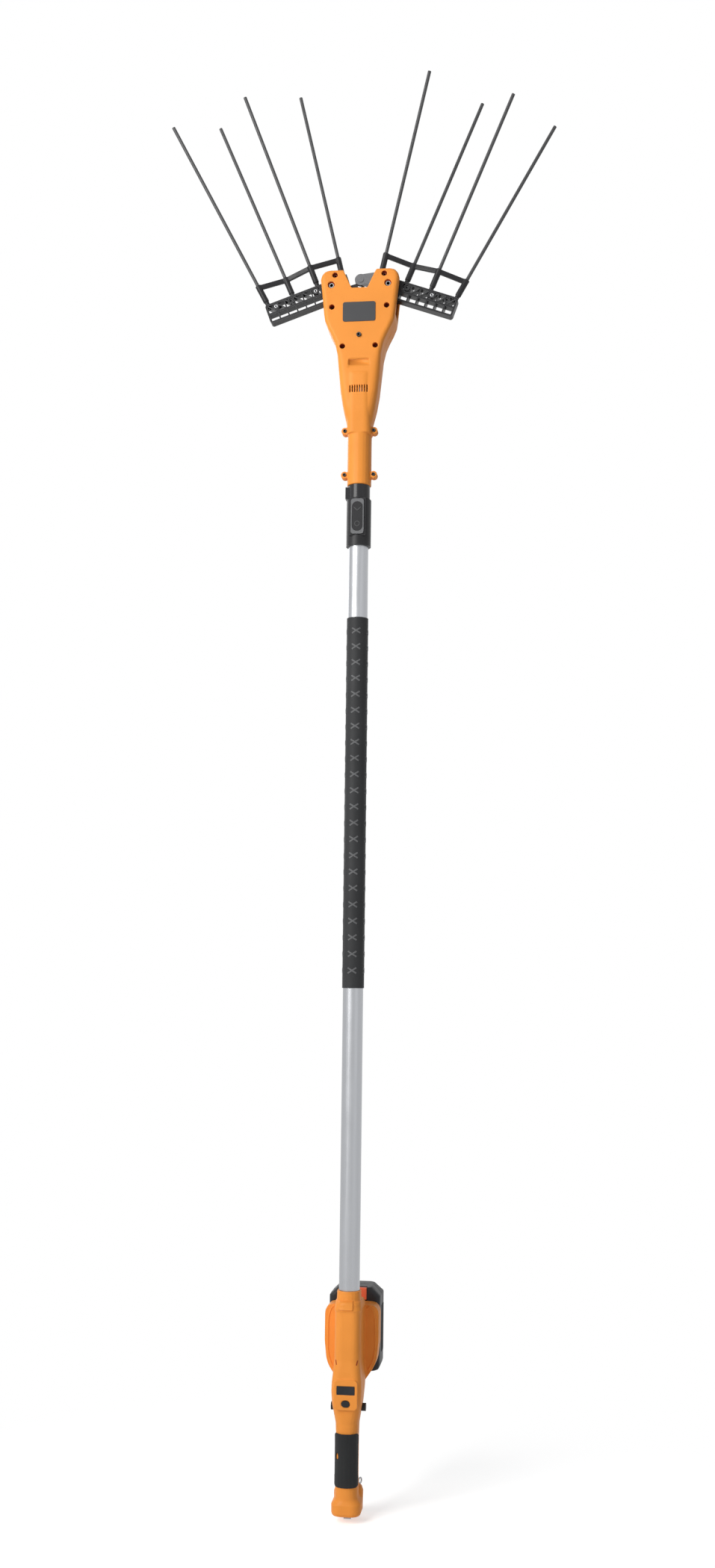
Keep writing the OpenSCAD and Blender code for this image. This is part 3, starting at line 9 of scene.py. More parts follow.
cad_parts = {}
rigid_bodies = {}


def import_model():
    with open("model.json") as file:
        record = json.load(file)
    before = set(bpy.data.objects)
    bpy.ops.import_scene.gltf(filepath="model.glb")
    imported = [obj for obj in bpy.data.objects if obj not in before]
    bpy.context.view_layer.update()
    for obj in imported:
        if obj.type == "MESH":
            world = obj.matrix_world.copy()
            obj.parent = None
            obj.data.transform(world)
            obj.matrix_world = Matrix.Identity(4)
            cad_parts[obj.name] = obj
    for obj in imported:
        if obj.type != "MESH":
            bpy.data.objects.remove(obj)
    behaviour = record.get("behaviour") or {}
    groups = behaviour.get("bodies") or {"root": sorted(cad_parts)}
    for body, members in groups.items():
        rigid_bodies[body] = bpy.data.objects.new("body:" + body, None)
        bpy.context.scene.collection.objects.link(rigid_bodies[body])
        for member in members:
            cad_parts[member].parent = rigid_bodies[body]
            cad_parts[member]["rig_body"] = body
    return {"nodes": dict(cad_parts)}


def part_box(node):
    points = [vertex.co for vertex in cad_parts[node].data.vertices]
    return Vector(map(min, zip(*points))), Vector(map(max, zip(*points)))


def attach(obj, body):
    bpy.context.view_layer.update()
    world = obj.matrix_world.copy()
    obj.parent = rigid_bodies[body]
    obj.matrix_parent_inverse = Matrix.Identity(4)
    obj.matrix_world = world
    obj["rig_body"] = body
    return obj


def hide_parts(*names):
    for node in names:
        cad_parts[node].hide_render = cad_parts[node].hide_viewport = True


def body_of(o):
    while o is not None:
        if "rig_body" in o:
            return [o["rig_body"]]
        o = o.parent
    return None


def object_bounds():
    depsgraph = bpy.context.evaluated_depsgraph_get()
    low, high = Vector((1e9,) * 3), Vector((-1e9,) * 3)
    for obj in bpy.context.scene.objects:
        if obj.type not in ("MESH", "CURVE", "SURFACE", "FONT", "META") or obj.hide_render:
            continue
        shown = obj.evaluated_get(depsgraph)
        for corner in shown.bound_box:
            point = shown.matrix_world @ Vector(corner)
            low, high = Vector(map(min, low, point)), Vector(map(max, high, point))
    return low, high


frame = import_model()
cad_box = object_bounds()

scene = bpy.context.scene
scene.view_settings.view_transform = "Standard"
nodes = frame["nodes"]
MM = 0.001
BOTH_SIDES = (-1.0, 1.0)


# camera fitted to the pole, the combs and the head in the photograph
IMAGE_H = 2100.0
FOCAL_PX = 2169.0
SENSOR_H = 36.0
FAR_CLIP = 50.0
CAMERA_BACK = 2.252
CAMERA_SIDE = 0.0027
CAMERA_UP = 0.7108
PITCH = math.radians(6.73)
YAW = math.radians(7.18)
ROLL = math.radians(0.70)


def make_camera():
    data = bpy.data.cameras.new("camera")
    data.sensor_fit = "VERTICAL"
    data.sensor_height = SENSOR_H
    data.lens = FOCAL_PX * SENSOR_H / IMAGE_H
    data.clip_end = FAR_CLIP
    cam = bpy.data.objects.new("camera", data)
    scene.collection.objects.link(cam)
    right = Vector((math.cos(YAW), math.sin(YAW), 0.0))
    ahead = Vector((-math.sin(YAW), math.cos(YAW), 0.0))
    up_z = Vector((0.0, 0.0, 1.0))
    forward = ahead * math.cos(PITCH) + up_z * math.sin(PITCH)
    up = up_z * math.cos(PITCH) - ahead * math.sin(PITCH)
    # a positive roll turns the picture clockwise, so the camera turns the other way
    right_r = right * math.cos(ROLL) + up * math.sin(ROLL)
    up_r = up * math.cos(ROLL) - right * math.sin(ROLL)
    place = ahead * -CAMERA_BACK + right * CAMERA_SIDE + up_z * CAMERA_UP
    turn = Matrix((right_r, up_r, -forward)).transposed().to_4x4()
    cam.matrix_world = Matrix.Translation(place) @ turn
    scene.camera = cam


make_camera()


# lights, world and floor
LIGHTS = (
    # name, place, target, size, power, tint
    ("key_light", (-1.7, -2.4, 2.2), (0.0, 0.0, 1.0), (1.6, 2.4), 88.0, (1.0, 0.99, 0.97)),
    ("fill_light", (2.2, -2.0, 1.2), (0.0, 0.0, 0.9), (1.6, 2.2), 3.0, (0.97, 0.98, 1.0)),
    ("back_light", (-1.6, 2.2, 2.2), (0.0, 0.0, 1.0), (1.8, 1.8), 16.0, (1.0, 1.0, 1.0)),
)
FILL_TINT = (0.95, 0.97, 1.0, 1.0)
FILL_STRENGTH = 0.22
WHITE = (1.0, 1.0, 1.0, 1.0)
WHITE_STRENGTH = 1.0
FLOOR_GAP = 0.5 * MM
FLOOR_HALF = 12.0
FLOOR_GREY = (0.9, 0.9, 0.9, 1.0)
FLOOR_GLOW = 0.55
FLOOR_FADE = (0.15, 0.7)


def area_light(name, place, target, size, power, tint):
    data = bpy.data.lights.new(name, "AREA")
    data.shape = "RECTANGLE"
    data.size, data.size_y = size
    data.energy = power
    data.color = tint
    lamp = bpy.data.objects.new(name, data)
    scene.collection.objects.link(lamp)
    lamp.location = place
    lamp.rotation_euler = (Vector(target) - Vector(place)).to_track_quat("-Z", "Y").to_euler()


def seen_directly(tree):
    """1 for rays from the camera, off glossy faces and through glass, which all see the background."""
    path = tree.nodes.new("ShaderNodeLightPath")
    seen = path.outputs["Is Camera Ray"]
    for kind in ("Is Glossy Ray", "Is Transmission Ray"):
        either = tree.nodes.new("ShaderNodeMath")
        either.operation = "MAXIMUM"
        tree.links.new(seen, either.inputs[0])
        tree.links.new(path.outputs[kind], either.inputs[1])
        seen = either.outputs[0]
    return seen


def make_world():
    """A white background to the camera, in reflections and through glass, and a soft even fill."""
    world = bpy.data.worlds.new("studio")
    scene.world = world
    world.use_nodes = True
    tree = world.node_tree
    tree.nodes.clear()
    out = tree.nodes.new("ShaderNodeOutputWorld")
    mix = tree.nodes.new("ShaderNodeMixShader")
    tree.links.new(seen_directly(tree), mix.inputs["Fac"])
    for entry, tint, strength in ((1, FILL_TINT, FILL_STRENGTH), (2, WHITE, WHITE_STRENGTH)):
        back = tree.nodes.new("ShaderNodeBackground")
        back.inputs["Color"].default_value = tint
        back.inputs["Strength"].default_value = strength
        tree.links.new(back.outputs[0], mix.inputs[entry])
    tree.links.new(mix.outputs[0], out.inputs["Surface"])


def make_floor():
    """A pale floor that keeps the object's shadow and turns into the white background further out."""
    level = cad_box[0][2] - FLOOR_GAP
    corners = ((-1.0, -1.0), (1.0, -1.0), (1.0, 1.0), (-1.0, 1.0))
    mesh = bpy.data.meshes.new("floor")
    mesh.from_pydata([(sx * FLOOR_HALF, sy * FLOOR_HALF, level) for sx, sy in corners], [], [(0, 1, 2, 3)])
    floor = bpy.data.objects.new("floor", mesh)
    scene.collection.objects.link(floor)
    mat = bpy.data.materials.new("floor_pale")
    mat.use_nodes = True
    tree = mat.node_tree
    tree.nodes.clear()
    out = tree.nodes.new("ShaderNodeOutputMaterial")
    diffuse = tree.nodes.new("ShaderNodeBsdfDiffuse")
    diffuse.inputs["Color"].default_value = FLOOR_GREY
    glow = tree.nodes.new("ShaderNodeEmission")
    glow.inputs["Strength"].default_value = FLOOR_GLOW
    white = tree.nodes.new("ShaderNodeEmission")
    white.inputs["Strength"].default_value = WHITE_STRENGTH
    add = tree.nodes.new("ShaderNodeAddShader")
    fade = tree.nodes.new("ShaderNodeMixShader")
    mix = tree.nodes.new("ShaderNodeMixShader")
    coord = tree.nodes.new("ShaderNodeTexCoord")
    length = tree.nodes.new("ShaderNodeVectorMath")
    length.operation = "LENGTH"
    span = tree.nodes.new("ShaderNodeMapRange")
    span.interpolation_type = "SMOOTHSTEP"
    span.inputs["From Min"].default_value, span.inputs["From Max"].default_value = FLOOR_FADE
    tree.links.new(coord.outputs["Object"], length.inputs[0])
    tree.links.new(length.outputs["Value"], span.inputs["Value"])
    tree.links.new(diffuse.outputs[0], add.inputs[0])
    tree.links.new(glow.outputs[0], add.inputs[1])
    tree.links.new(span.outputs["Result"], fade.inputs["Fac"])
    tree.links.new(add.outputs[0], fade.inputs[1])
    tree.links.new(white.outputs[0], fade.inputs[2])
    tree.links.new(seen_directly(tree), mix.inputs["Fac"])
    tree.links.new(diffuse.outputs[0], mix.inputs[1])
    tree.links.new(fade.outputs[0], mix.inputs[2])
    tree.links.new(mix.outputs[0], out.inputs["Surface"])
    mesh.materials.append(mat)


for light in LIGHTS:
    area_light(*light)
make_world()
make_floor()


# materials
EVEN = (1.0, 1.0, 1.0)
EDGE_RADIUS = 1.2 * MM
EDGE_SAMPLES = 4
RUBBED = 1.5


def shade(colour, factor):
    return tuple(min(1.0, c * factor) for c in colour)


class Shader:
    """A principled material whose colour, roughness and bump come from its own nodes."""

    def __init__(self, name):
        self.mat = bpy.data.materials.new(name)
        self.mat.use_nodes = True
        self.tree = self.mat.node_tree
        self.bsdf = next(n for n in self.tree.nodes if n.type == "BSDF_PRINCIPLED")
        self.coord = self.add("ShaderNodeTexCoord")

    def add(self, kind, **values):
        node = self.tree.nodes.new(kind)
        for key, value in values.items():
            setattr(node, key, value)
        return node

    def link(self, a, b):
        self.tree.links.new(a, b)

    def noise(self, scale, detail=2.0, rough=0.5, stretch=EVEN):
        mapping = self.add("ShaderNodeMapping")
        mapping.inputs["Scale"].default_value = stretch
        self.link(self.coord.outputs["Object"], mapping.inputs["Vector"])
        tex = self.add("ShaderNodeTexNoise")
        tex.inputs["Scale"].default_value = scale
        tex.inputs["Detail"].default_value = detail
        tex.inputs["Roughness"].default_value = rough
        self.link(mapping.outputs["Vector"], tex.inputs["Vector"])
        return tex.outputs["Fac"]

    def span(self, source, low, high, start=0.3, end=0.7):
        """Maps the source from start..end to low..high."""
        node = self.add("ShaderNodeMapRange")
        node.inputs["From Min"].default_value = start
        node.inputs["From Max"].default_value = end
        node.inputs["To Min"].default_value = low
        node.inputs["To Max"].default_value = high
        self.link(source, node.inputs["Value"])
        return node.outputs["Result"]

    def math(self, operation, *sources):
        node = self.add("ShaderNodeMath", operation=operation)
        for socket, source in zip(node.inputs, sources):
            self.link(source, socket)
        return node.outputs[0]

    def mix(self, factor, a, b):
        """Blends two colours, each a tuple or another node's output."""
        node = self.add("ShaderNodeMix", data_type="RGBA")
        for socket, value in ((node.inputs[0], factor), (node.inputs[6], a), (node.inputs[7], b)):
            if isinstance(value, tuple):
                socket.default_value = (*value, 1.0)
            else:
                self.link(value, socket)
        return node.outputs[2]

    def clouded(self, cloud, colour, vary):
        """A colour that a noise makes a little darker and lighter."""
        return self.mix(self.span(cloud, 0.0, 1.0), shade(colour, 1.0 - vary), shade(colour, 1.0 + vary))

    def bump(self, height, distance, strength):
        node = self.add("ShaderNodeBump")
        node.inputs["Distance"].default_value = distance
        node.inputs["Strength"].default_value = strength
        self.link(height, node.inputs["Height"])
        return node.outputs["Normal"]

    def edge(self):
        """1 on sharp edges, 0 on flat faces."""
        soft = self.add("ShaderNodeBevel", samples=EDGE_SAMPLES)
        soft.inputs["Radius"].default_value = EDGE_RADIUS
        plain = self.add("ShaderNodeNewGeometry")
        dot = self.add("ShaderNodeVectorMath", operation="DOT_PRODUCT")
        self.link(soft.outputs["Normal"], dot.inputs[0])
        self.link(plain.outputs["Normal"], dot.inputs[1])
        return self.span(dot.outputs["Value"], 1.0, 0.0, start=0.75, end=0.97)

    def finish(self, colour, rough, normal=None, **constants):
        self.link(colour, self.bsdf.inputs["Base Color"])
        self.link(rough, self.bsdf.inputs["Roughness"])
        if normal is not None:
            self.link(normal, self.bsdf.inputs["Normal"])
        for key, value in constants.items():
            self.bsdf.inputs[key.replace("_", " ")].default_value = value
        return self.mat


def moulded(name, colour, rough, grain, depth, vary, wear, worn, specular):
    """Moulded plastic: fine spark-eroded grain, cloudy gloss and paler rubbed edges."""
    s = Shader(name)
    tint = s.clouded(s.noise(14.0, detail=3.0), colour, vary)
    rub = s.math("MULTIPLY", s.edge(), s.span(s.noise(170.0, detail=3.0), 0.0, wear, start=0.35))
    tint = s.mix(rub, tint, worn or shade(colour, RUBBED))
    fine = s.noise(grain, detail=1.0)
    streak = s.noise(60.0, stretch=(1.0, 1.0, 0.25))
    gloss = s.math("ADD", s.span(streak, rough - 0.05, rough + 0.06), s.span(fine, -0.03, 0.03))
    return s.finish(tint, gloss, s.bump(fine, depth, 0.6), Specular_IOR_Level=specular)


def metal(name, colour, rough, stretch, vary, depth):
    """Metal with fine lines, drawn out along the axes that stretch makes small."""
    s = Shader(name)
    line = s.noise(900.0, rough=0.6, stretch=stretch)
    cloud = s.noise(22.0, detail=3.0)
    tint = s.clouded(cloud, colour, vary)
    gloss = s.math("ADD", s.span(line, rough - 0.07, rough + 0.07), s.span(cloud, -0.04, 0.05))
    return s.finish(tint, gloss, s.bump(line, depth, 0.5), Metallic=1.0)


def carbon_rod():
    """Black rod with fibres along its length."""
    s = Shader("carbon_rod")
    fibre = s.noise(1500.0, rough=0.6, stretch=(1.0, 1.0, 0.02))
    tint = s.mix(s.span(fibre, 0.0, 1.0), (0.045, 0.046, 0.048), (0.105, 0.105, 0.108))
    gloss = s.math("ADD", s.span(fibre, 0.30, 0.40), s.span(s.noise(30.0), -0.04, 0.05))
    return s.finish(tint, gloss, s.bump(fibre, 0.00003, 0.5), Specular_IOR_Level=0.32)


def smoked_window():
    s = Shader("smoked_window")
    smear = s.noise(80.0, detail=3.0)
    tint = s.mix(s.span(smear, 0.0, 1.0), (0.012, 0.013, 0.016), (0.022, 0.024, 0.03))
    return s.finish(tint, s.span(smear, 0.08, 0.2), Specular_IOR_Level=0.25, Coat_Weight=0.1)


BLACK = (0.018, 0.018, 0.020)
# a paler grey painted on the thin ribs' front and rear faces, a painted highlight
RIB_PAINTED_HIGHLIGHT = (0.24, 0.245, 0.255)
RIB_THICKNESS = 1.3 * MM


def ribbed_plastic():
    """Black plastic with a painted highlight: its thin ribs are painted a paler grey along their front and
    rear faces.
    """
    s = Shader("comb_plastic")
    cloud = s.noise(14.0, detail=3.0)
    fine = s.noise(1700.0, detail=1.0)
    inside = s.add("ShaderNodeAmbientOcclusion", inside=True, only_local=True, samples=8)
    inside.inputs["Distance"].default_value = RIB_THICKNESS
    thin = s.span(inside.outputs["AO"], 1.0, 0.0, start=0.25)
    split = s.add("ShaderNodeSeparateXYZ")
    s.link(s.coord.outputs["Normal"], split.inputs[0])
    level = s.span(s.math("ABSOLUTE", split.outputs["Y"]), 0.0, 1.0, start=0.5, end=0.9)
    # painted highlight on thin faces that face front or back
    tint = s.mix(s.math("MULTIPLY", thin, level), s.clouded(cloud, BLACK, 0.12), RIB_PAINTED_HIGHLIGHT)
    gloss = s.math("ADD", s.span(cloud, 0.36, 0.44), s.span(fine, -0.03, 0.03))
    return s.finish(tint, gloss, s.bump(fine, 0.00004, 0.6), Specular_IOR_Level=0.25)


ORANGE = (0.93, 0.33, 0.055)
RUBBED_BLACK = (0.09, 0.09, 0.095)
PLASTICS = {
    # material, colour, roughness, grain, bump depth, variation, wear, worn colour, specular level
    "orange": ("orange_plastic", ORANGE, 0.46, 1500.0, 0.00004, 0.04, 0.5, (1.0, 0.50, 0.18), 0.2),
    "black": ("black_plastic", BLACK, 0.40, 1700.0, 0.00005, 0.12, 0.5, RUBBED_BLACK, 0.25),
    "battery": ("battery_plastic", (0.022, 0.022, 0.024), 0.48, 1300.0, 0.00007, 0.12, 0.5,
        (0.10, 0.10, 0.105), 0.25),
    "coral": ("coral_plastic", (0.82, 0.15, 0.065), 0.42, 1500.0, 0.00004, 0.05, 0.4, None, 0.32),
    "rubber": ("soft_rubber", (0.020, 0.021, 0.022), 0.60, 2400.0, 0.00009, 0.15, 0.35, RUBBED_BLACK, 0.22),
    "sleeve": ("sleeve_rubber", (0.034, 0.035, 0.037), 0.58, 2200.0, 0.00008, 0.12, 0.3,
        (0.1, 0.1, 0.105), 0.22),
    "plate": ("bare_plate", (0.055, 0.056, 0.060), 0.4, 1800.0, 0.00003, 0.06, 0.4, None, 0.32),
    "mark": ("sleeve_mark", (0.135, 0.137, 0.142), 0.55, 2200.0, 0.00006, 0.1, 0.3, (0.2, 0.2, 0.205), 0.22),
    # painted shade: near black for the inside of sockets, bores and centre holes
    "hollow": ("dark_hollow", (0.006, 0.006, 0.006), 0.9, 1800.0, 0.00004, 0.1, 0.1, None, 0.05),
    # painted shade: a dark red-brown for the inside of deep holes and for the handle's slot plates, standing
    # in for the shade in them
    "well": ("painted_well_shade", (0.40, 0.065, 0.025), 0.75, 1500.0, 0.00004, 0.08, 0.1, None, 0.1),
    "gloss": ("glossy_black", BLACK, 0.20, 1700.0, 0.00003, 0.12, 0.5, RUBBED_BLACK, 0.32),
    "trim": ("grey_trim", (0.15, 0.153, 0.16), 0.40, 1500.0, 0.00004, 0.06, 0.4, (0.4, 0.4, 0.41), 0.32),
    "relief": ("grey_relief", (0.060, 0.061, 0.064), 0.40, 1500.0, 0.00004, 0.06, 0.4,
        (0.16, 0.16, 0.165), 0.32),
    "board": ("circuit_board", (0.02, 0.14, 0.06), 0.4, 900.0, 0.00004, 0.07, 0.35, None, 0.32),
}
METALS = {
    # material, colour, roughness, stretch of its lines, variation, bump depth
    "aluminium": ("drawn_aluminium", (0.43, 0.44, 0.46), 0.34, (1.0, 1.0, 0.010), 0.02, 0.00001),
    "steel": ("plated_steel", (0.36, 0.365, 0.375), 0.32, EVEN, 0.06, 0.00003),
    # painted shade: a dark red-brown steel for screw heads deep in their wells, standing in for the shade
    # there
    "well_shaded_steel": ("steel_with_painted_well_shade", (0.16, 0.04, 0.024), 0.6, EVEN, 0.06, 0.00003),
    "dark_steel": ("black_oxide_steel", (0.05, 0.05, 0.052), 0.46, EVEN, 0.06, 0.00003),
    "cast": ("die_cast_grey", (0.135, 0.137, 0.143), 0.55, EVEN, 0.1, 0.00012),
    "brass": ("bare_brass", (0.72, 0.52, 0.2), 0.3, (1.0, 1.0, 0.2), 0.06, 0.00003),
    "bronze": ("sintered_bronze", (0.5, 0.31, 0.14), 0.45, EVEN, 0.06, 0.00003),
}
mats = {key: moulded(*row) for key, row in PLASTICS.items()}
mats.update({key: metal(*row) for key, row in METALS.items()})
mats["comb"] = ribbed_plastic()
mats["carbon"] = carbon_rod()
mats["display"] = smoked_window()

FINISH_OF = {
    "pole_tube": "aluminium", "grip_sleeve": "sleeve", "power_cable": "rubber",
    "connector_socket": "black", "release_bezel": "black", "release_rocker": "black",
    "rocker_pin": "dark_steel", "socket_contacts": "brass", "plug_stem": "gloss",
    "plug_contacts": "brass", "seal_ring": "rubber",
    "head_front_shell": "orange", "head_rear_shell": "orange", "head_screws": "steel", "neck_screws": "steel",
    "pivot_plates": "steel", "pivot_shafts": "steel", "label_plate": "plate", "motor_can": "steel",
    "ring_gear": "steel", "gear_cover": "cast", "bearing_block": "cast", "motor_rotor": "bronze",
    "planet_1": "brass", "planet_2": "brass", "planet_3": "brass", "crank_shaft": "steel",
    "right_rocker": "cast", "right_bush": "bronze", "right_comb_front": "comb", "right_comb_rear": "comb",
    "right_tine_frame": "black", "right_tines": "carbon", "right_comb_screws": "steel", "link_pin": "cast",
    # the left rocker's dark steel is painted shade: it sits behind the right rocker, in shadow
    "left_rocker": "dark_steel", "left_bush": "bronze", "left_comb_front": "comb", "left_comb_rear": "comb",
    "left_tine_frame": "black", "left_tines": "carbon", "left_comb_screws": "steel",
    "handle_front_shell": "orange", "handle_rear_shell": "orange", "handle_screws": "steel",
    "display_window": "display", "power_button": "black", "lock_button": "black", "rubber_grip": "rubber",
    "trigger": "black", "trigger_pin": "steel", "trigger_switch": "black", "control_board": "board",
    "strap_tab": "steel", "strap_eye": "steel", "terminal_blades": "brass",
    "battery_case": "battery", "battery_cover": "battery", "battery_latch": "coral", "battery_cells": "plate",
}
for node, finish in FINISH_OF.items():
    mesh = nodes[node].data
    mesh.materials.clear()
    mesh.materials.append(mats[finish])


# sharp edges of CAD nodes, rounded by these widths in mm
SOFT_EDGES = {
    "left_comb_front": 0.3, "left_comb_rear": 0.3, "right_comb_front": 0.3, "right_comb_rear": 0.3,
    "connector_socket": 0.5, "release_bezel": 0.4, "release_rocker": 0.6, "plug_stem": 0.5,
    "lock_button": 0.6, "power_button": 0.5, "trigger": 1.2, "right_rocker": 0.7, "left_rocker": 0.7,
    "label_plate": 0.2, "strap_tab": 0.4, "left_tines": 0.8, "right_tines": 0.8, "display_window": 0.3,
}
SOFT_ANGLE = math.radians(38.0)
SOFT_SEGMENTS = 2
for node, width in SOFT_EDGES.items():
    bevel = nodes[node].modifiers.new("soft_edges", "BEVEL")
    bevel.width = width * MM
    bevel.segments = SOFT_SEGMENTS
    bevel.limit_method = "ANGLE"
    bevel.angle_limit = SOFT_ANGLE
    bevel.harden_normals = False
    bevel.use_clamp_overlap = True


# pieces and meshes
def add_piece(name, mesh, body, finish, stands_for=()):
    """Puts a mesh in the scene as a piece that rides on a body."""
    piece = bpy.data.objects.new(name, mesh)
    scene.collection.objects.link(piece)
    # clearing also sets every face back to the first material, so a mesh without materials is left alone
    if mesh.materials:
        mesh.materials.clear()
    for key in (finish if isinstance(finish, tuple) else (finish,)):
        mesh.materials.append(mats[key])
    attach(piece, body)
    if stands_for:
        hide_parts(*stands_for)
    return piece


def mesh_from(bm, name, smooth_angle=None):
    """Ends a bmesh: outward normals, and smooth shading below the given angle."""
    bmesh.ops.recalc_face_normals(bm, faces=bm.faces)
    mesh = bpy.data.meshes.new(name)
    if smooth_angle is not None:
        limit = math.radians(smooth_angle)
        for face in bm.faces:
            face.smooth = True
        for edge in bm.edges:
            edge.smooth = not edge.is_manifold or edge.calc_face_angle() < limit
    bm.to_mesh(mesh)
    bm.free()
    return mesh


def add_relief(name, bm, smooth_angle, body, finish):
    """Ends a bmesh as a piece that stands on the CAD and replaces none of it."""
    add_piece(name, mesh_from(bm, name, smooth_angle), body, finish)


def settled(piece):
    """The piece's mesh with its modifiers applied."""
    bpy.context.view_layer.update()
    graph = bpy.context.evaluated_depsgraph_get()
    return bpy.data.meshes.new_from_object(piece.evaluated_get(graph), depsgraph=graph)


def body_name(node):
    return body_of(nodes[node])[0]


WELD = 1e-6


def islands(node):
    """The corner points of each separate solid in a CAD node."""
    bm = bmesh.new()
    bm.from_mesh(nodes[node].data)
    bmesh.ops.remove_doubles(bm, verts=bm.verts, dist=WELD)
    left = set(bm.verts)
    groups = []
    while left:
        stack = [left.pop()]
        group = []
        while stack:
            vert = stack.pop()
            group.append(vert.co.copy())
            for edge in vert.link_edges:
                other = edge.other_vert(vert)
                if other in left:
                    left.remove(other)
                    stack.append(other)
        groups.append(group)
    bm.free()
    return groups


def axis_of(points):
    """The x and z of a solid's axis along Y, and its lowest and highest y."""
    xs, ys, zs = zip(*points)
    return (min(xs) + max(xs)) / 2.0, (min(zs) + max(zs)) / 2.0, min(ys), max(ys)


def features(*node_names):
    """The axis and radius of each round fitting along Y, from the CAD nodes that fill them."""
    found = []
    for node in node_names:
        for points in islands(node):
            cx, cz = axis_of(points)[:2]
            found.append((cx, cz, max(p.x for p in points) - cx))
    return found


def bridge(bm, first, second, material=0):
    """Joins two rings of points by a band of faces."""
    count = len(first)
    for i in range(count):
        j = (i + 1) % count
        face = bm.faces.new((first[i], first[j], second[j], second[i]))
        face.material_index = material


def loft(bm, sections):
    """A solid through rings of points, closed at both ends."""
    for first, second in zip(sections, sections[1:]):
        bridge(bm, first, second)
    bm.faces.new(sections[0])
    bm.faces.new(sections[-1])


def at_depth(bm, outline, y):
    """An outline of (x, z) points as a ring at a depth y."""
    return [bm.verts.new((x, y, z)) for x, z in outline]


def prism(bm, outline, y0, y1):
    """A straight prism along Y over a closed outline of (x, z) points."""
    loft(bm, [at_depth(bm, outline, y0), at_depth(bm, outline, y1)])


def round_outline(cx, cz, width, height, radius, steps=5):
    """A rectangle with round corners, as (x, z) points."""
    points = []
    for quarter, (sx, sz) in enumerate(((1, 1), (-1, 1), (-1, -1), (1, -1))):
        for i in range(steps + 1):
            turn = math.pi / 2.0 * (quarter + i / steps)
            points.append((cx + sx * (width / 2.0 - radius) + radius * math.cos(turn),
                cz + sz * (height / 2.0 - radius) + radius * math.sin(turn)))
    return points


def circle_steps(steps):
    """The angles of evenly spaced points round a circle."""
    return [2.0 * math.pi * i / steps for i in range(steps)]


# mouldings: CAD nodes whose visible copies have the round edges of a moulding
SEAM_GUARD = (2.0 * MM, 7.0 * MM)
HOLE_GUARD = (1.5 * MM, 5.0 * MM)
GUARD_LEAST = 0.12
WEIGHT_LEVELS = 16
SMOOTH_FACTOR = 0.5
POLISH_EDGE = 6.0 * MM
POLISH_FRONT = (4.0 * MM, 12.0 * MM)
POLISH_PASSES = 60


def easing(values, start, end):
    """A smooth step from 0 at the start to 1 at the end."""
    t = np.clip((values - start) / (end - start), 0.0, 1.0)
    return t * t * (3.0 - 2.0 * t)


def vertex_places(draft):
    places = np.empty(len(draft.data.vertices) * 3)
    draft.data.vertices.foreach_get("co", places)
    return places.reshape(-1, 3)


def add_smooth(draft, name, passes, weights=None, least=0.0):
    """A smoothing, everywhere or by weights of 0 to 1, which are raised to a least weight."""
    smooth = draft.modifiers.new(name, "SMOOTH")
    smooth.factor = SMOOTH_FACTOR
    smooth.iterations = passes
    if weights is None:
        return
    group = draft.vertex_groups.new(name=name)
    levels = np.rint(weights * WEIGHT_LEVELS).astype(int)
    for level in range(WEIGHT_LEVELS + 1):
        chosen = np.nonzero(levels == level)[0].tolist()
        if chosen:
            group.add(chosen, least + (1.0 - least) * level / WEIGHT_LEVELS, "REPLACE")
    smooth.vertex_group = name


def guard_weights(places, holes, seam):
    """Weights that keep the smoothing off the edges of holes and off the seam."""
    weights = np.ones(len(places))
    if seam is not None:
        weights = easing(np.abs(places[:, 1] - seam), *SEAM_GUARD)
    for cx, cz, radius in holes:
        gaps = np.hypot(places[:, 0] - cx, places[:, 2] - cz) - radius
        weights = np.minimum(weights, easing(gaps, *HOLE_GUARD))
    return weights


def polish_weights(places, low, high):
    """Weights for a second, longer smoothing of the front between two heights."""
    depths, heights = places[:, 1], places[:, 2]
    inside = easing(heights, low, low + POLISH_EDGE) * easing(-heights, -high, POLISH_EDGE - high)
    return inside * easing(-depths, *POLISH_FRONT)


def moulded_mesh(node, voxel, passes, keep, holes=(), seam=None, cutter=None, polish=None):
    """A CAD node's mesh with its edges rounded as a moulding's are, but not at its holes and its seam."""
    draft = bpy.data.objects.new("draft", nodes[node].data.copy())
    scene.collection.objects.link(draft)
    remesh = draft.modifiers.new("remesh", "REMESH")
    remesh.mode = "VOXEL"
    remesh.voxel_size = voxel
    draft.data = settled(draft)
    draft.modifiers.clear()
    places = vertex_places(draft)
    guarded = guard_weights(places, holes, seam) if holes or seam is not None else None
    add_smooth(draft, "rounded", passes, guarded, GUARD_LEAST)
    if polish is not None:
        add_smooth(draft, "polished", POLISH_PASSES, polish_weights(places, *polish))
    if cutter is not None:
        cut = draft.modifiers.new("cut", "BOOLEAN")
        cut.operation = "DIFFERENCE"
        cut.solver = "MANIFOLD"
        cut.object = cutter
    thin = draft.modifiers.new("thin", "DECIMATE")
    thin.ratio = keep
    mesh = settled(draft)
    bpy.data.objects.remove(draft)
    if cutter is not None:
        bpy.data.objects.remove(cutter)
    mesh.polygons.foreach_set("use_smooth", [True] * len(mesh.polygons))
    return mesh


def mould(node, finish, slot, **options):
    mesh = moulded_mesh(node, **options)
    return add_piece(node + "_moulding", mesh, body_name(node), finish, (node,))


def cutter_from(bm):
    """An object that cuts a moulding and isn't rendered."""
    cutter = bpy.data.objects.new("cutter", mesh_from(bm, "cutter"))
    scene.collection.objects.link(cutter)
    cutter.hide_render = True
    return cutter


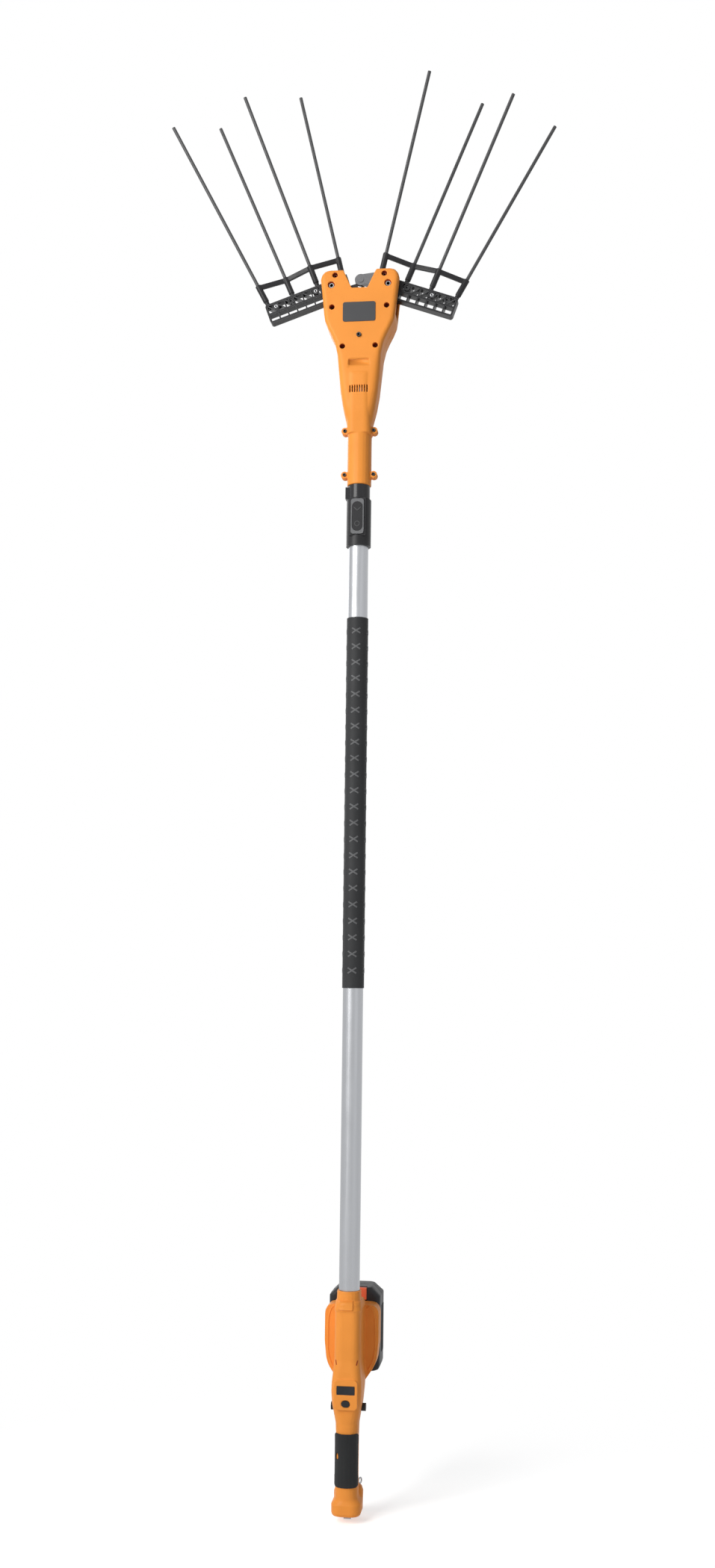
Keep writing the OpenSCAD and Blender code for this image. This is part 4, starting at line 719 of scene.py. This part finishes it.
# places on the head's front face, below the comb pivots
VENT_COUNT = 8
VENT_W = 1.7 * MM
VENT_H = 11.0 * MM
VENT_CORNER = VENT_W / 2.2
VENT_PITCH = 3.5 * MM
VENT_DROP = 155.0 * MM
VENT_REACH = 17.6 * MM
RECESS_W = 29.0 * MM
RECESS_H = 9.0 * MM
RECESS_CORNER = 1.2 * MM
RECESS_DROP = 116.0 * MM
RECESS_FLOOR = 22.7 * MM
POLISH_LOW_DROP = 147.0 * MM
POLISH_HIGH_DROP = 97.0 * MM
pivot_z = (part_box("pivot_shafts")[0].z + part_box("pivot_shafts")[1].z) / 2.0


def head_cutter():
    """The vents and the shallow recess above them, as one cutting solid."""
    bm = bmesh.new()
    ahead = cad_box[0][1]
    for i in range(VENT_COUNT):
        x = (i - (VENT_COUNT - 1) / 2.0) * VENT_PITCH
        prism(bm, round_outline(x, pivot_z - VENT_DROP, VENT_W, VENT_H, VENT_CORNER), ahead, -VENT_REACH)
    recess = round_outline(0.0, pivot_z - RECESS_DROP, RECESS_W, RECESS_H, RECESS_CORNER)
    prism(bm, recess, ahead, -RECESS_FLOOR)
    return cutter_from(bm)


DROP_X = 4.3 * MM
DROP_RISE = 5.5 * MM
DROP_HALF_W = 1.7 * MM
DROP_HALF_H = 4.6 * MM
DROP_NARROWING = 0.35
DROP_STEPS = 24
RUBBER_CORNER = 4.0 * MM
CORNER_STEPS = 8


def rubber_cutter():
    """The drop-shaped opening of the rubber, over the orange shell, and its four round corners."""
    low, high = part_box("rubber_grip")
    near, back = low.y - RUBBER_CORNER, high.y + RUBBER_CORNER
    bm = bmesh.new()
    drop = []
    for turn in circle_steps(DROP_STEPS):
        narrow = 1.0 - DROP_NARROWING * math.sin(turn)
        drop.append((low.x + DROP_X + DROP_HALF_W * narrow * math.cos(turn),
            (low.z + high.z) / 2.0 + DROP_RISE + DROP_HALF_H * math.sin(turn)))
    prism(bm, drop, near, back)
    for x, sx in ((low.x, -1.0), (high.x, 1.0)):
        for z, sz in ((low.z, -1.0), (high.z, 1.0)):
            out_x, out_z = x + sx * RUBBER_CORNER, z + sz * RUBBER_CORNER
            corner = [(out_x, out_z), (x - sx * RUBBER_CORNER, out_z)]
            for i in range(CORNER_STEPS + 1):
                turn = math.pi / 2.0 * (1.0 - i / CORNER_STEPS)
                corner.append((x - sx * RUBBER_CORNER * (1.0 - math.cos(turn)),
                    z - sz * RUBBER_CORNER * (1.0 - math.sin(turn))))
            corner.append((out_x, z - sz * RUBBER_CORNER))
            prism(bm, corner, near, back)
    return cutter_from(bm)


# the inside faces of holes within these margins and depths get a dark red-brown painted shade
WELL_SHADE_MATERIAL = 1
WELL_MARGIN = 1.3 * MM
WELL_DEPTH = 25.0 * MM
NECK_WELL_MARGIN = 0.8 * MM
NECK_WELL_DEPTH = 6.0 * MM


def shade_wells(piece, wells, margin, depth):
    """Paints shade into deep holes: their inside faces get the second material, a dark red-brown painted
    shade.
    """
    for face in piece.data.polygons:
        centre = face.center
        for cx, cz, radius in wells:
            if math.hypot(centre.x - cx, centre.z - cz) < radius + margin and abs(centre.y) < depth:
                face.material_index = WELL_SHADE_MATERIAL
                break


SHELL_SEAM = 0.0
SHELL_VOXEL = 0.7 * MM
SHELL_KEEP = 0.25
BATTERY_VOXEL = 0.6 * MM
SMALL_VOXEL = 0.4 * MM
head_holes = features("head_screws", "pivot_shafts", "neck_screws")
front = mould("head_front_shell", ("orange", "well"), "orange_plastic", voxel=SHELL_VOXEL, passes=12,
    keep=SHELL_KEEP, holes=head_holes, seam=SHELL_SEAM, cutter=head_cutter(),
    polish=(pivot_z - POLISH_LOW_DROP, pivot_z - POLISH_HIGH_DROP))
# painted shade on the inside of the front shell's screw and shaft holes
shade_wells(front, features("head_screws", "pivot_shafts"), WELL_MARGIN, WELL_DEPTH)
shade_wells(front, features("neck_screws"), NECK_WELL_MARGIN, NECK_WELL_DEPTH)
mould("head_rear_shell", "orange", "orange_plastic", voxel=SHELL_VOXEL, passes=12, keep=SHELL_KEEP,
    holes=head_holes, seam=SHELL_SEAM)
for shell in ("handle_front_shell", "handle_rear_shell"):
    mould(shell, "orange", "orange_plastic", voxel=SHELL_VOXEL, passes=6, keep=SHELL_KEEP, seam=SHELL_SEAM)
for half in ("battery_case", "battery_cover"):
    mould(half, "battery", "black_plastic", voxel=BATTERY_VOXEL, passes=30, keep=0.15,
        holes=features("battery_latch"), seam=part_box("battery_cover")[0].y)
for side in ("left", "right"):
    mould(side + "_tine_frame", "black", "black_plastic", voxel=SMALL_VOXEL, passes=14, keep=0.2)
mould("rubber_grip", "rubber", "rubber", voxel=SMALL_VOXEL, passes=4, keep=0.3, cutter=rubber_cutter())
mould("battery_latch", "coral", "coral_plastic", voxel=SMALL_VOXEL, passes=26, keep=0.3)


# screws and shafts, each in the place of its CAD solid
RIM_STEPS = 24
ROUND = 0
HEXAGON = 6
# material numbers of the lathed pieces: the second is a near-black painted shade for sockets and bores, the
# fourth a dark red-brown painted shade for screw heads deep in wells
OUTER, HOLE_SHADE, EYELET, WELL_SHADED_HEAD = range(4)


def ring(bm, cx, cz, y, radius, sides):
    """A ring of points about an axis along Y, round or with flat sides."""
    points = []
    for turn in circle_steps(RIM_STEPS):
        reach = radius
        if sides:
            half = math.pi / sides
            reach = radius * math.cos(half) / math.cos((turn % (2.0 * half)) - half)
        points.append(bm.verts.new((cx + reach * math.cos(turn), y, cz + reach * math.sin(turn))))
    return points


def lathe(bm, cx, cz, profile):
    """Joins rings given as (y, radius, sides, material) and closes both ends."""
    rings = [ring(bm, cx, cz, y, radius, sides) for y, radius, sides, _ in profile]
    for first, second, step in zip(rings, rings[1:], profile[1:]):
        bridge(bm, first, second, step[3])
    first_cap = bm.faces.new(rings[0])
    first_cap.material_index = profile[1][3]
    last_cap = bm.faces.new(rings[-1])
    last_cap.material_index = profile[-1][3]


# a screw's sizes, as lengths or as shares of its head's or shank's radius
END_BAND = 0.2 * MM
HEAD_RIM = 0.97
HEAD_CHAMFER = 0.14
SOCKET_FLARE = 0.08
SOCKET_LIP = 0.15 * MM
SOCKET_DEPTH_SHARE = 0.6
SOCKET_DEPTH_MORE = 0.8 * MM
SOCKET_DEPTH_MOST = 2.4 * MM
SHANK_TIP = 0.8
SHANK_CHAMFER = 0.4 * MM
EYELET_R = 2.7 * MM
EYELET_BORE = 1.2 * MM
EYELET_RISE = 1.2 * MM
EYELET_LIP = 0.2 * MM
EYELET_FLARE = 0.3 * MM
EYELET_ROUND = 0.5 * MM
EYELET_CHAMFER = 0.4 * MM
LATHE_ANGLE = 40.0


def reach_at(points, cx, cz, y):
    """How far a solid's points lie from its axis at a depth y."""
    return max(math.hypot(p.x - cx, p.z - cz) for p in points if abs(p.y - y) < END_BAND)


def socket_screws(node, socket=0.5, eyelet=False, sunk=False):
    """Cap screws with a socket; eyelet sets a ring at their far end, sunk gives the heads of those off the
    axis a dark red-brown painted shade.
    """
    bm = bmesh.new()
    for points in islands(node):
        cx, cz, low, high = axis_of(points)
        at_low, at_high = reach_at(points, cx, cz, low), reach_at(points, cx, cz, high)
        face, foot = (low, high) if at_low > at_high else (high, low)
        head_r, shank_r = max(at_low, at_high), min(at_low, at_high)
        way = 1.0 if foot > face else -1.0
        under = max(abs(p.y - face) for p in points if math.hypot(p.x - cx, p.z - cz) > head_r * HEAD_RIM)
        depth = min(SOCKET_DEPTH_SHARE * under + SOCKET_DEPTH_MORE, SOCKET_DEPTH_MOST)
        # heads deep in wells, off the axis, get painted shade
        tone = WELL_SHADED_HEAD if sunk and abs(cx) > head_r else OUTER
        lathe(bm, cx, cz, [
            (face + way * depth, head_r * socket, HEXAGON, HOLE_SHADE),
            (face + way * SOCKET_LIP, head_r * socket, HEXAGON, HOLE_SHADE),
            (face, head_r * (socket + SOCKET_FLARE), ROUND, tone),
            (face, head_r * (1.0 - HEAD_CHAMFER), ROUND, tone),
            (face + way * head_r * HEAD_CHAMFER, head_r, ROUND, tone),
            (face + way * under, head_r, ROUND, tone),
            (face + way * under, shank_r, ROUND, OUTER),
            (foot - way * SHANK_CHAMFER, shank_r, ROUND, OUTER),
            (foot, shank_r * SHANK_TIP, ROUND, OUTER)])
        if eyelet:
            rim = foot + way * EYELET_RISE
            lathe(bm, cx, cz, [
                (foot, EYELET_BORE, ROUND, HOLE_SHADE),
                (rim - way * EYELET_LIP, EYELET_BORE, ROUND, HOLE_SHADE),
                (rim, EYELET_BORE + EYELET_FLARE, ROUND, EYELET),
                (rim, EYELET_R - EYELET_ROUND, ROUND, EYELET),
                (rim - way * EYELET_CHAMFER, EYELET_R, ROUND, EYELET),
                (foot, EYELET_R, ROUND, EYELET)])
    add_piece(node + "_cap", mesh_from(bm, node, LATHE_ANGLE), body_name(node),
        ("dark_steel", "hollow", "steel", "well_shaded_steel"), (node,))


socket_screws("head_screws", sunk=True)
socket_screws("neck_screws")
socket_screws("handle_screws")
socket_screws("left_comb_screws", socket=0.48, eyelet=True)
socket_screws("right_comb_screws", socket=0.48, eyelet=True)


CENTRE_BORE = 0.5
CENTRE_DEPTH = 6.0 * MM
CENTRE_LIP = 0.7 * MM
CENTRE_FLARE = 0.5 * MM
SHAFT_CHAMFER = 0.6 * MM


def pivot_shaft_piece():
    """The two pivot shafts with a centre hole in each end."""
    bm = bmesh.new()
    for points in islands("pivot_shafts"):
        cx, cz, low, high = axis_of(points)
        radius = max(p.x for p in points) - cx
        bore = radius * CENTRE_BORE
        half = (
            # depth from the end, radius, material
            (CENTRE_DEPTH, bore, HOLE_SHADE), (CENTRE_LIP, bore, HOLE_SHADE), (0.0, bore + CENTRE_FLARE, OUTER),
            (0.0, radius - SHAFT_CHAMFER, OUTER), (SHAFT_CHAMFER, radius, OUTER))
        profile = [(low + depth, reach, ROUND, material) for depth, reach, material in half]
        profile += [(high - depth, reach, ROUND, material) for depth, reach, material in reversed(half)]
        lathe(bm, cx, cz, profile)
    add_piece("pivot_shaft_ends", mesh_from(bm, "pivot_shafts", LATHE_ANGLE), "head", ("steel", "hollow"),
        ("pivot_shafts",))


pivot_shaft_piece()


# raised marks on the grip sleeve
MARK_ROWS = 22
MARK_COLUMNS = 4
MARK_W = 12.0 * MM
MARK_H = 7.4 * MM
MARK_BAR = 2.6 * MM
MARK_TOP = 0.65
MARK_RISE = 0.35 * MM
MARK_SINK = 0.3 * MM
MARK_STEPS = 8
MARK_MARGIN = 19.5 * MM
MARK_FOOT_MORE = 4.5 * MM
MARK_ANGLE = 30.0


def raised_bar(bm, radius, middle, height, lean):
    """One arm of a mark, wrapped round the sleeve, its foot sunk in the sleeve."""
    slope = Vector((MARK_W, lean * MARK_H)).normalized()
    across = Vector((-slope.y, slope.x))
    profile = ((-1.0, -MARK_SINK), (-MARK_TOP, MARK_RISE), (MARK_TOP, MARK_RISE), (1.0, -MARK_SINK))
    sections = []
    for i in range(MARK_STEPS + 1):
        t = 2.0 * i / MARK_STEPS - 1.0
        centre = Vector((t * MARK_W / 2.0, t * lean * MARK_H / 2.0))
        section = []
        for side, out in profile:
            flat = centre + across * (side * MARK_BAR / 2.0)
            turn = middle + flat.x / radius
            reach = radius + out
            section.append(bm.verts.new((reach * math.cos(turn), reach * math.sin(turn), height + flat.y)))
        sections.append(section)
    loft(bm, sections)


def sleeve_marks():
    low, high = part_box("grip_sleeve")
    radius = high.x
    top = high.z - MARK_MARGIN
    pitch = (top - low.z - MARK_MARGIN - MARK_FOOT_MORE) / (MARK_ROWS - 1)
    bm = bmesh.new()
    for row in range(MARK_ROWS):
        for turn in circle_steps(MARK_COLUMNS):
            for lean in BOTH_SIDES:
                raised_bar(bm, radius, turn - math.pi / 2.0, top - row * pitch, lean)
    add_relief("sleeve_marks", bm, MARK_ANGLE, "pole", "mark")


sleeve_marks()


# grey trim round the release rocker and the relief on its face
TRIM_RISE = 0.5 * MM
TRIM_SINK = 1.2 * MM
TRIM_CORNER = 4.0 * MM
TRIM_GAP_W = 0.8 * MM
TRIM_GAP_H = 1.0 * MM
TRIM_INNER_ROUND = 2.05
TRIM_STEPS = 6
RELIEF_RISE = 0.5 * MM
RELIEF_SINK = 0.4 * MM
RELIEF_EDGE = 0.3 * MM
# one half of the arrow, in mm across and from the rocker's top
ARROW = ((5.2, -7.0), (5.2, -8.8), (0.0, -13.6), (0.0, -11.8))
CIRCLE_R = 3.9 * MM
CIRCLE_RISE = 10.0 * MM
CIRCLE_HOLE = 0.72
CIRCLE_STEPS = 24
PLATE_ANGLE = 35.0


def frame_plate(bm, outer, inner, y_face, y_foot):
    """A flat frame between two outlines, its outer edge drawn down to its foot."""
    steps = ((inner, y_foot), (inner, y_face), (outer, y_face), (outer, y_foot))
    rings = [at_depth(bm, outline, y) for outline, y in steps]
    for first, second in zip(rings, rings[1:] + rings[:1]):
        bridge(bm, first, second)


def solid_plate(bm, outline, y_face, y_foot, edge):
    """A plate along Y with a chamfered edge at its face."""
    cx = sum(x for x, _ in outline) / len(outline)
    cz = sum(z for _, z in outline) / len(outline)
    reach = max(math.hypot(x - cx, z - cz) for x, z in outline)
    share = 1.0 - edge / reach
    way = 1.0 if y_foot > y_face else -1.0
    inner = [(cx + (x - cx) * share, cz + (z - cz) * share) for x, z in outline]
    steps = ((outline, y_foot), (outline, y_face + way * edge), (inner, y_face))
    loft(bm, [at_depth(bm, points, y) for points, y in steps])


def bezel_trim():
    low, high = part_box("release_bezel")
    rocker_low, rocker_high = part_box("release_rocker")
    inner_w = rocker_high.x - rocker_low.x + TRIM_GAP_W
    inner_h = rocker_high.z - rocker_low.z + TRIM_GAP_H
    outer = round_outline(0.0, (low.z + high.z) / 2.0, high.x - low.x, high.z - low.z,
        TRIM_CORNER, TRIM_STEPS)
    inner = round_outline(0.0, (rocker_high.z + rocker_low.z) / 2.0, inner_w, inner_h,
        inner_w / TRIM_INNER_ROUND, TRIM_STEPS)
    bm = bmesh.new()
    frame_plate(bm, outer, inner, low.y - TRIM_RISE, low.y + TRIM_SINK)
    add_relief("bezel_trim", bm, PLATE_ANGLE, "pole", "trim")


def release_relief():
    low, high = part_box("release_rocker")
    face, foot = low.y - RELIEF_RISE, low.y + RELIEF_SINK
    bm = bmesh.new()
    for side in BOTH_SIDES:
        half = [(side * x * MM, high.z + z * MM) for x, z in ARROW]
        solid_plate(bm, half, face, foot, RELIEF_EDGE)
    circle_z = low.z + CIRCLE_RISE
    turns = circle_steps(CIRCLE_STEPS)
    outer, inner = ([(r * math.cos(turn), circle_z + r * math.sin(turn)) for turn in turns]
        for r in (CIRCLE_R, CIRCLE_R * CIRCLE_HOLE))
    frame_plate(bm, outer, inner, face, foot)
    add_relief("release_relief", bm, PLATE_ANGLE, "release", "relief")


bezel_trim()
release_relief()


# relief on the handle: a block on its band, dark plates of painted shade in place of slots in its bulge, and
# a rim along each wing
PATCH_STEPS = (24, 10)
PATCH_SINK = 1.0 * MM
BAND_X = -2.2 * MM
BAND_DROP = 17.5 * MM
BAND_W = 21.0 * MM
BAND_H = 12.5 * MM
BAND_RISE = 2.0 * MM
SLOT_X = 14.0 * MM
SLOT_DROP = 91.0 * MM
SLOT_W = 1.6 * MM
SLOT_H = 7.0 * MM
SLOT_RISE = 0.1 * MM
SLOT_LEAN = 0.8 * MM
PATCH_ANGLE = 40.0
# the rim's path on a wing, in mm across and above the wing's low point
RIM_PATH = ((20.5, 76.0), (25.0, 78.5), (29.0, 74.0), (31.5, 66.0), (32.5, 56.0), (32.5, 22.0), (31.0, 12.0),
    (28.0, 3.0), (24.0, -4.0))
# the rim's section, in shares of its width and of its rise
RIM_SECTION = ((-0.5, -0.6), (-0.4, 0.6), (0.0, 1.0), (0.4, 0.6), (0.5, -0.6))
RIM_W = 2.6 * MM
RIM_RISE = 1.1 * MM
RIM_ANGLE = 50.0
WING_LOW = 183.0 * MM
WING_FRONT = 30.0 * MM


def surface_of(node):
    mesh = nodes[node].data
    return BVHTree.FromPolygons([v.co for v in mesh.vertices], [tuple(f.vertices) for f in mesh.polygons])


def patch(bm, tree, cx, cz, width, height, rise, lean=0.0):
    """A low plate that follows a shell's front, its edge sunk in the shell."""
    across, up = PATCH_STEPS
    sheets = ([], [])
    for j in range(up + 1):
        rows = ([], [])
        for i in range(across + 1):
            u, v = 2.0 * i / across - 1.0, 2.0 * j / up - 1.0
            x = cx + u * width / 2.0 + v * lean
            z = cz + v * height / 2.0
            y = tree.ray_cast(Vector((x, cad_box[0][1], z)), Vector((0.0, 1.0, 0.0)))[0].y
            edge = i in (0, across) or j in (0, up)
            rows[0].append(bm.verts.new((x, y + (PATCH_SINK / 2.0 if edge else -rise), z)))
            rows[1].append(bm.verts.new((x, y + PATCH_SINK, z)))
        for sheet, row in zip(sheets, rows):
            sheet.append(row)
    rims = []
    for sheet in sheets:
        for low_row, high_row in zip(sheet, sheet[1:]):
            for i in range(across):
                bm.faces.new((low_row[i], low_row[i + 1], high_row[i + 1], high_row[i]))
        rim = sheet[0] + [row[-1] for row in sheet[1:]] + sheet[-1][-2::-1]
        rims.append(rim + [row[0] for row in sheet[-2:0:-1]])
    bridge(bm, rims[0], rims[1])


def wing_rim(bm, path):
    """A half-round ridge along a path of (x, z) points on a wing's front."""
    sections = []
    for i, point in enumerate(path):
        run = (path[min(i + 1, len(path) - 1)] - path[max(i - 1, 0)]).normalized()
        side = Vector((-run.y, run.x))
        section = []
        for share, rise in RIM_SECTION:
            spot = point + side * share * RIM_W
            section.append(bm.verts.new((spot.x, WING_FRONT - RIM_RISE * rise, spot.y)))
        sections.append(section)
    loft(bm, sections)


def handle_relief():
    tree = surface_of("handle_front_shell")
    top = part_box("handle_front_shell")[1].z
    block, slots, rims = bmesh.new(), bmesh.new(), bmesh.new()
    patch(block, tree, BAND_X, top - BAND_DROP, BAND_W, BAND_H, BAND_RISE)
    for side in BOTH_SIDES:
        patch(slots, tree, side * SLOT_X, top - SLOT_DROP, SLOT_W, SLOT_H, SLOT_RISE, side * SLOT_LEAN)
        wing_rim(rims, [Vector((side * x * MM, WING_LOW + z * MM)) for x, z in RIM_PATH])
    add_relief("band_block", block, PATCH_ANGLE, "pole", "orange")
    # the slot plates are painted shade in the dark red-brown of the wells, not cut slots
    add_relief("bulge_slot_shade", slots, PATCH_ANGLE, "pole", "well")
    add_relief("wing_rims", rims, RIM_ANGLE, "pole", "orange")


handle_relief()


# relief on the battery pack: grip ribs at its sides, a bare panel and screws at its back
RIB_COUNT = 4
RIB_PITCH = 6.0 * MM
RIB_MIDDLE = 7.0 * MM
RIB_W = 2.6 * MM
RIB_RISE = 0.9 * MM
# a rib's section in shares of its width and rise, and its ends in shares of the cover's height
RIB_SECTION = ((-0.5, -1.0), (-0.3, 0.8), (0.0, 1.0), (0.3, 0.8), (0.5, -1.0))
RIB_ENDS = (-0.30, 0.26)
PANEL_W_SHARE = 0.58
PANEL_H_SHARE = 0.52
PANEL_CORNER = 6.0 * MM
PANEL_RISE = 0.8 * MM
PANEL_SINK = 1.0 * MM
PANEL_EDGE = 0.5 * MM
BACK_SCREW_X = 0.33
BACK_SCREW_Z = 0.36
# a back screw's rings: rise over the cover in mm, radius in mm, sides, material
BACK_SCREW = ((-0.6, 1.3, HEXAGON, HOLE_SHADE), (0.45, 1.3, HEXAGON, HOLE_SHADE), (0.6, 1.6, ROUND, OUTER),
    (0.6, 2.6, ROUND, OUTER), (0.2, 3.0, ROUND, OUTER), (-1.5, 3.0, ROUND, OUTER))


def battery_ribs(low, high, cz, height):
    bm = bmesh.new()
    for side in BOTH_SIDES:
        for i in range(RIB_COUNT):
            y = low.y + RIB_MIDDLE + (i - RIB_COUNT / 2.0) * RIB_PITCH
            loft(bm, [
                [bm.verts.new((side * (high.x + RIB_RISE * rise), y + share * RIB_W, cz + end * height))
                    for share, rise in RIB_SECTION]
                for end in RIB_ENDS])
    add_relief("battery_side_ribs", bm, RIM_ANGLE, "battery", "battery")


def battery_back(back, width, cz, height):
    panel = bmesh.new()
    outline = round_outline(0.0, cz, width * PANEL_W_SHARE, height * PANEL_H_SHARE, PANEL_CORNER)
    solid_plate(panel, outline, back + PANEL_RISE, back - PANEL_SINK, PANEL_EDGE)
    add_relief("battery_back_panel", panel, PLATE_ANGLE, "battery", "plate")
    heads = bmesh.new()
    profile = [(back + rise * MM, radius * MM, sides, material)
        for rise, radius, sides, material in BACK_SCREW]
    for sx in BOTH_SIDES:
        for sz in BOTH_SIDES:
            lathe(heads, sx * width * BACK_SCREW_X, cz + sz * height * BACK_SCREW_Z, profile)
    add_relief("battery_back_screws", heads, LATHE_ANGLE, "battery", ("dark_steel", "hollow"))


def battery_relief():
    low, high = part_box("battery_cover")
    cz, height = (low.z + high.z) / 2.0, high.z - low.z
    battery_ribs(low, high, cz, height)
    battery_back(high.y, high.x - low.x, cz, height)


battery_relief()
